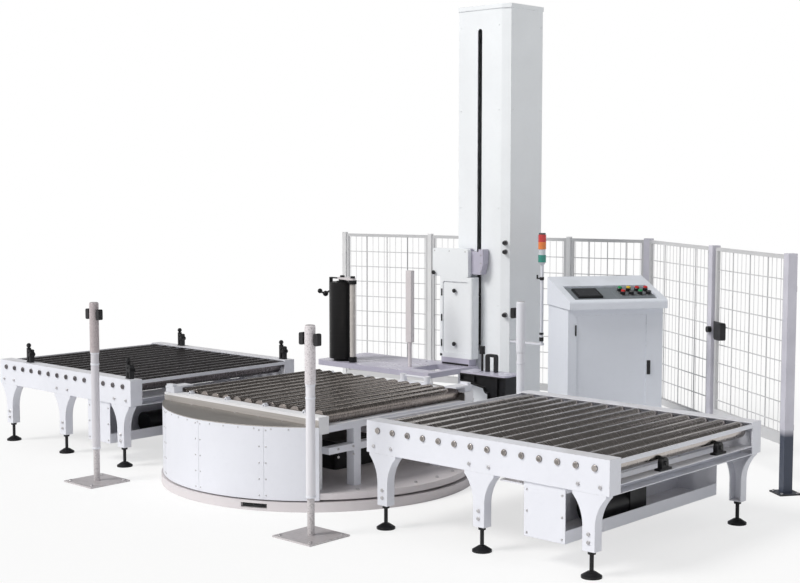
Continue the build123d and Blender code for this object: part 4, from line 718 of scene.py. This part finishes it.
def carriage_trim():
    """Door knob and hinge fittings and a black strip as painted shadow under the carriage housing, and the screws of
    its bearing block.
    """
    fittings_and_shadow_strip = Shape()
    knob = [(0, 0), (0.006, 0), (0.006, 0.006), (0.012, 0.008), (0.0135, 0.012), (0.0125, 0.018), (0.006, 0.020), (0, 0.020)]
    for x, y, z in ((-0.143, 1.316, 0.934), (-0.310, 1.310, 1.042), (-0.143, 1.316, 0.600)):
        turn = Vector((0, -1, 0)).to_track_quat("Z", "Y").to_matrix().to_4x4()
        fittings_and_shadow_strip.lathe(knob, Matrix.Translation((x, y, z)) @ turn, 24)
    for z in (0.60, 0.76, 0.92):
        fittings_and_shadow_strip.rod((-0.250, 1.3085, z - 0.022), (-0.250, 1.3085, z + 0.022), 0.0045, 16)
    fittings_and_shadow_strip.box((-0.262, 1.3075, 0.518), (-0.246, 1.311, 0.532))
    # Painted shadow: a thin black strip at the foot of the housing's neck stands in for the shade in the gap under the
    # housing
    fittings_and_shadow_strip.box((-0.245, 1.3080, 0.4685), (-0.030, 1.3125, 0.480))
    fittings_and_shadow_strip.done("housing_fittings_and_shadow_strip", "black_plastic", "carriage", slot="black_plastic", bevel=0.0008)
    screws = Shape()
    for x in (-0.085, 0.040):
        for z in (1.060, 1.110, 1.160):
            screws.screw((x, 1.340, z), (0, -1, 0), 0.0050)
    for x in (-0.310, -0.190, -0.060):
        screws.screw((x, 1.310, 1.180), (0, -1, 0), 0.0045)
    screws.done("carriage_screws", "zinc", "carriage", bevel=0)


def film_fittings():
    """Black brackets of the film unit: the crank that holds the roll, and the collars of the roller."""
    fittings = Shape()
    top = 1.002
    fittings.rod((-0.825, 1.0, top), (-0.825, 1.0, top + 0.012), 0.016, 6)
    fittings.rod((-0.692, 0.960, top), (-0.692, 0.960, top + 0.014), 0.016, 6)
    fittings.rod((-0.692, 0.960, 0.966), (-0.692, 0.960, 0.990), 0.025, 28)
    fittings.box((-0.714, 0.952, 0.972), (-0.664, 0.968, 0.986))
    fittings.rod((-0.692, 0.960, 0.469), (-0.692, 0.960, 0.502), 0.025, 28)
    fittings.box((-0.722, 0.952, 0.480), (-0.666, 0.968, 0.500))
    fittings.box((-0.934, 0.988, 0.9905), (-0.845, 1.012, 0.9985))
    fittings.box((-0.934, 0.988, 0.905), (-0.924, 1.012, 0.9975))
    for start, end, radius in (
        ((-0.930, 1.0, 0.914), (-0.984, 1.0, 0.886), 0.0065),
        ((-0.984, 1.0, 0.886), (-1.022, 1.0, 0.897), 0.0065),
    ):
        fittings.rod(start, end, radius, 16)
    ball = [(0.016 * math.sin(math.pi * i / 10), -0.016 * math.cos(math.pi * i / 10)) for i in range(11)]
    ball[0] = (0, -0.016)
    ball[-1] = (0, 0.016)
    for x, z, size in ((-1.032, 0.902, 1.0), (-0.980, 0.888, 1.15)):
        fittings.lathe([(r * size, h * size) for r, h in ball], Matrix.Translation((x, 1.0, z)), 24)
    fittings.done("film_fittings", "black_metal", "carriage", bevel=0.001)


def console_trim():
    """Control panel, screen, coloured button caps and door fittings of the console."""
    body = Matrix.Translation((*CONSOLE_CORNER, 0)) @ Matrix.Rotation(CONSOLE_TURN, 4, "Z")
    slope = body @ Matrix.Translation((0, -0.023, 0.956)) @ Matrix.Rotation(DESK_SLOPE, 4, "X")
    panel = slope @ Matrix.Translation((0, 0, -0.012))
    sheet = Shape()
    sheet.box((0.035, 0.003, 0), (0.533, 0.212, 0.0025), panel)
    sheet.box((0.300, 0.030, 0.002), (0.525, 0.185, 0.0045), panel)
    for x in (0.044, 0.284, 0.524):
        for y in (0.012, 0.203):
            sheet.screw(panel @ Vector((x, y, 0.0025)), panel.to_3x3() @ Vector((0, 0, 1)), 0.0045)
    sheet.done("console_panel", "panel_grey", "plant", bevel=0.0008)
    screen = Shape()
    screen.box((0.077, 0.052, 0.0135), (0.204, 0.163, 0.0150), panel)
    screen.done("console_screen", "screen", "plant", bevel=0.0006)
    up = (panel.to_3x3() @ Vector((0, 0, 1))).normalized()
    rings = Shape()
    caps = {"button_red": Shape(), "button_green": Shape(), "button_yellow": Shape()}
    colours = (("button_red", None, "button_green", None), ("button_green", "button_yellow", "button_red", "button_red"))
    for row, y in enumerate((0.1075 - 0.026, 0.1075 + 0.026)):
        for column in range(4):
            foot = panel @ Vector((0.345 + 0.052 * column, y, 0))
            rings.rod(foot + up * 0.004, foot + up * 0.009, 0.0185, 32)
            rings.rod(foot + up * 0.0255, foot + up * 0.0275, 0.0120, 32)
            colour = colours[row][column]
            if colour:
                cap = [(0, 0.026), (0.0105, 0.026), (0.0130, 0.029), (0.0120, 0.034), (0.007, 0.0365), (0, 0.037)]
                caps[colour].lathe(cap, Matrix.Translation(foot) @ up.to_track_quat("Z", "Y").to_matrix().to_4x4(), 28)
    rings.done("console_button_rings", "dark_zinc", "plant", bevel=0.0005)
    for name, shape in caps.items():
        shape.done("console_" + name, name, "plant", bevel=0.0004)
    fittings = Shape()
    fittings.box((0.474, -0.0050, 0.520), (0.494, 0.001, 0.600), body)
    fittings.rod((0.484, -0.010, 0.576), (0.484, -0.004, 0.576), 0.0075, 20, place=body)
    for z in (0.180, 0.780):
        fittings.rod((0.044, -0.0035, z - 0.03), (0.044, -0.0035, z + 0.03), 0.0045, 16, place=body)
    fittings.box((0.030, -0.0015, 0.075), (0.040, 0.001, 0.125), body)
    fittings.done("console_fittings", "black_plastic", "plant", slot="black_plastic", bevel=0.001)


def tower_clips():
    """Dark clips on the pole of the signal tower, the upper one with a small hook."""
    clips = Shape()
    x, y = TOWER
    for low, high in ((1.022, 1.040), (0.652, 0.676), (0.692, 0.704)):
        clips.rod((x, y, low), (x, y, high), 0.0135, 24)
    clips.box((x - 0.034, y - 0.004, 1.027), (x - 0.008, y + 0.004, 1.035))
    clips.box((x - 0.038, y - 0.004, 1.027), (x - 0.030, y + 0.004, 1.052))
    clips.done("tower_clips", "black_plastic", "plant", slot="black_plastic", bevel=0.001)


def floor_bolts():
    """Bolts of the plates under the light barrier posts and the fence posts."""
    bolts = Shape()
    for x, y, inset in BARRIERS:
        for dx in (-inset, inset):
            for dy in (-inset, inset):
                bolts.bolt((x + dx, y + dy, 0.008), (0, 0, 1), 0.008)
    left, corner, end = (Vector((*point, 0)) for point in FENCE_LINE)
    back = (corner - left).normalized()
    side = (end - corner).normalized()
    posts = [(left + back * place, back) for place in FENCE_BACK_PLACES]
    posts += [(corner, side), (corner + side * (end - corner).length, side)]
    for post, line in posts:
        across = Vector((-line.y, line.x, 0))
        for a in (-0.044, 0.044):
            for b in (-0.044, 0.044):
                bolts.bolt(post + line * a + across * b + Vector((0, 0, 0.008)), (0, 0, 1), 0.007)
    bolts.done("floor_bolts", "zinc", "plant", bevel=0.0005)


def post_collars():
    """Collars of the light barrier posts, above and below their sleeves."""
    collars = Shape()
    for x, y, _inset in BARRIERS:
        for level in (0.186, 0.640, 0.700):
            profile = [(0.0200, 0), (0.0228, 0.0008), (0.0235, 0.003), (0.0235, 0.009), (0.0228, 0.0112), (0.0200, 0.012)]
            collars.lathe(profile, Matrix.Translation((x, y, level - 0.006)), 32)
    collars.done("barrier_collars", "white_paint", "plant", slot="white_paint", bevel=0)


def add_camera():
    data = bpy.data.cameras.new("camera")
    data.sensor_width = SENSOR_WIDTH
    data.lens = FOCAL_PIXELS / IMAGE_WIDTH * SENSOR_WIDTH
    camera = bpy.data.objects.new("camera", data)
    camera.location = CAMERA_PLACE
    camera.rotation_euler = (math.radians(90 - CAMERA_TILT), 0, math.radians(CAMERA_TURN))
    bpy.context.scene.collection.objects.link(camera)
    bpy.context.scene.camera = camera


def add_sky():
    """Plain pale surroundings, white where the camera, a gloss or a glass looks at them."""
    world = bpy.data.worlds.new("surroundings")
    bpy.context.scene.world = world
    world.use_nodes = True
    nodes = world.node_tree.nodes
    links = world.node_tree.links
    light = nodes["Background"]
    light.inputs["Color"].default_value = (0.97, 0.985, 1.0, 1.0)
    light.inputs["Strength"].default_value = SKY_STRENGTH
    shown = nodes.new("ShaderNodeBackground")
    shown.inputs["Strength"].default_value = 1.0
    rays = nodes.new("ShaderNodeLightPath")
    shown.inputs["Color"].default_value = (1.0, 1.0, 1.0, 1.0)
    gloss = nodes.new("ShaderNodeBackground")
    gloss.inputs["Color"].default_value = (1.0, 1.0, 1.0, 1.0)
    direction = nodes.new("ShaderNodeSeparateXYZ")
    links.new(nodes.new("ShaderNodeTexCoord").outputs["Generated"], direction.inputs["Vector"])
    fall = nodes.new("ShaderNodeMapRange")
    for name, number in zip(("From Min", "From Max", "To Min", "To Max"), GLOSS_FALL):
        fall.inputs[name].default_value = number
    links.new(direction.outputs["Z"], fall.inputs["Value"])
    links.new(fall.outputs["Result"], gloss.inputs["Strength"])
    surface = light.outputs["Background"]
    for ray, background in (("Is Glossy Ray", gloss), ("Is Camera Ray", shown)):
        mix = nodes.new("ShaderNodeMixShader")
        links.new(rays.outputs[ray], mix.inputs["Fac"])
        links.new(surface, mix.inputs[1])
        links.new(background.outputs["Background"], mix.inputs[2])
        surface = mix.outputs["Shader"]
    links.new(surface, nodes["World Output"].inputs["Surface"])


def add_sun():
    data = bpy.data.lights.new("key", "SUN")
    data.energy = SUN_STRENGTH
    data.angle = math.radians(22)
    data.color = (1.0, 0.985, 0.96)
    sun = bpy.data.objects.new("key", data)
    sun.rotation_euler = (math.radians(90 - SUN_ELEVATION), 0, math.radians(SUN_AZIMUTH))
    bpy.context.scene.collection.objects.link(sun)


def add_floor():
    """White floor that keeps the object's shadow near it and fades to the white beyond."""
    mesh = bmesh.new()
    bmesh.ops.create_circle(mesh, cap_ends=True, segments=96, radius=FLOOR_RADIUS)
    data = bpy.data.meshes.new("floor")
    mesh.to_mesh(data)
    mesh.free()
    floor = bpy.data.objects.new("floor", data)
    bpy.context.scene.collection.objects.link(floor)
    g = Graph("floor")
    g.shader.inputs["Base Color"].default_value = (0.93, 0.93, 0.93, 1.0)
    g.shader.inputs["Roughness"].default_value = 0.9
    g.shader.inputs["Specular IOR Level"].default_value = 0.0
    far = g.add("ShaderNodeVectorMath", operation="LENGTH")
    g.join(g.place, far.inputs[0])
    white = g.add("ShaderNodeEmission")
    fade = g.ranged(far.outputs["Value"], 1.5, 6.0, 0.62, 1.0)
    rays = g.add("ShaderNodeLightPath")
    share = g.times(fade, rays.outputs["Is Camera Ray"])
    mix = g.add("ShaderNodeMixShader")
    g.join(share, mix.inputs["Fac"])
    g.join(g.shader.outputs["BSDF"], mix.inputs[1])
    g.join(white.outputs["Emission"], mix.inputs[2])
    g.join(mix.outputs["Shader"], g.nodes["Material Output"].inputs["Surface"])
    data.materials.append(g.material)


dress_nodes()
for conveyor in ("infeed", "outfeed"):
    conveyor_trim(conveyor)
    drive_cover_screws(conveyor)
end_bearings()
sensor_brackets()
skirt_trim()
deck_trim()
mast_trim()
carriage_trim()
film_fittings()
console_trim()
tower_clips()
floor_bolts()
post_collars()
add_fence()
add_camera()
add_sky()
add_sun()
add_floor()

bpy.context.scene.view_settings.view_transform = "Standard"
bpy.context.view_layer.update()
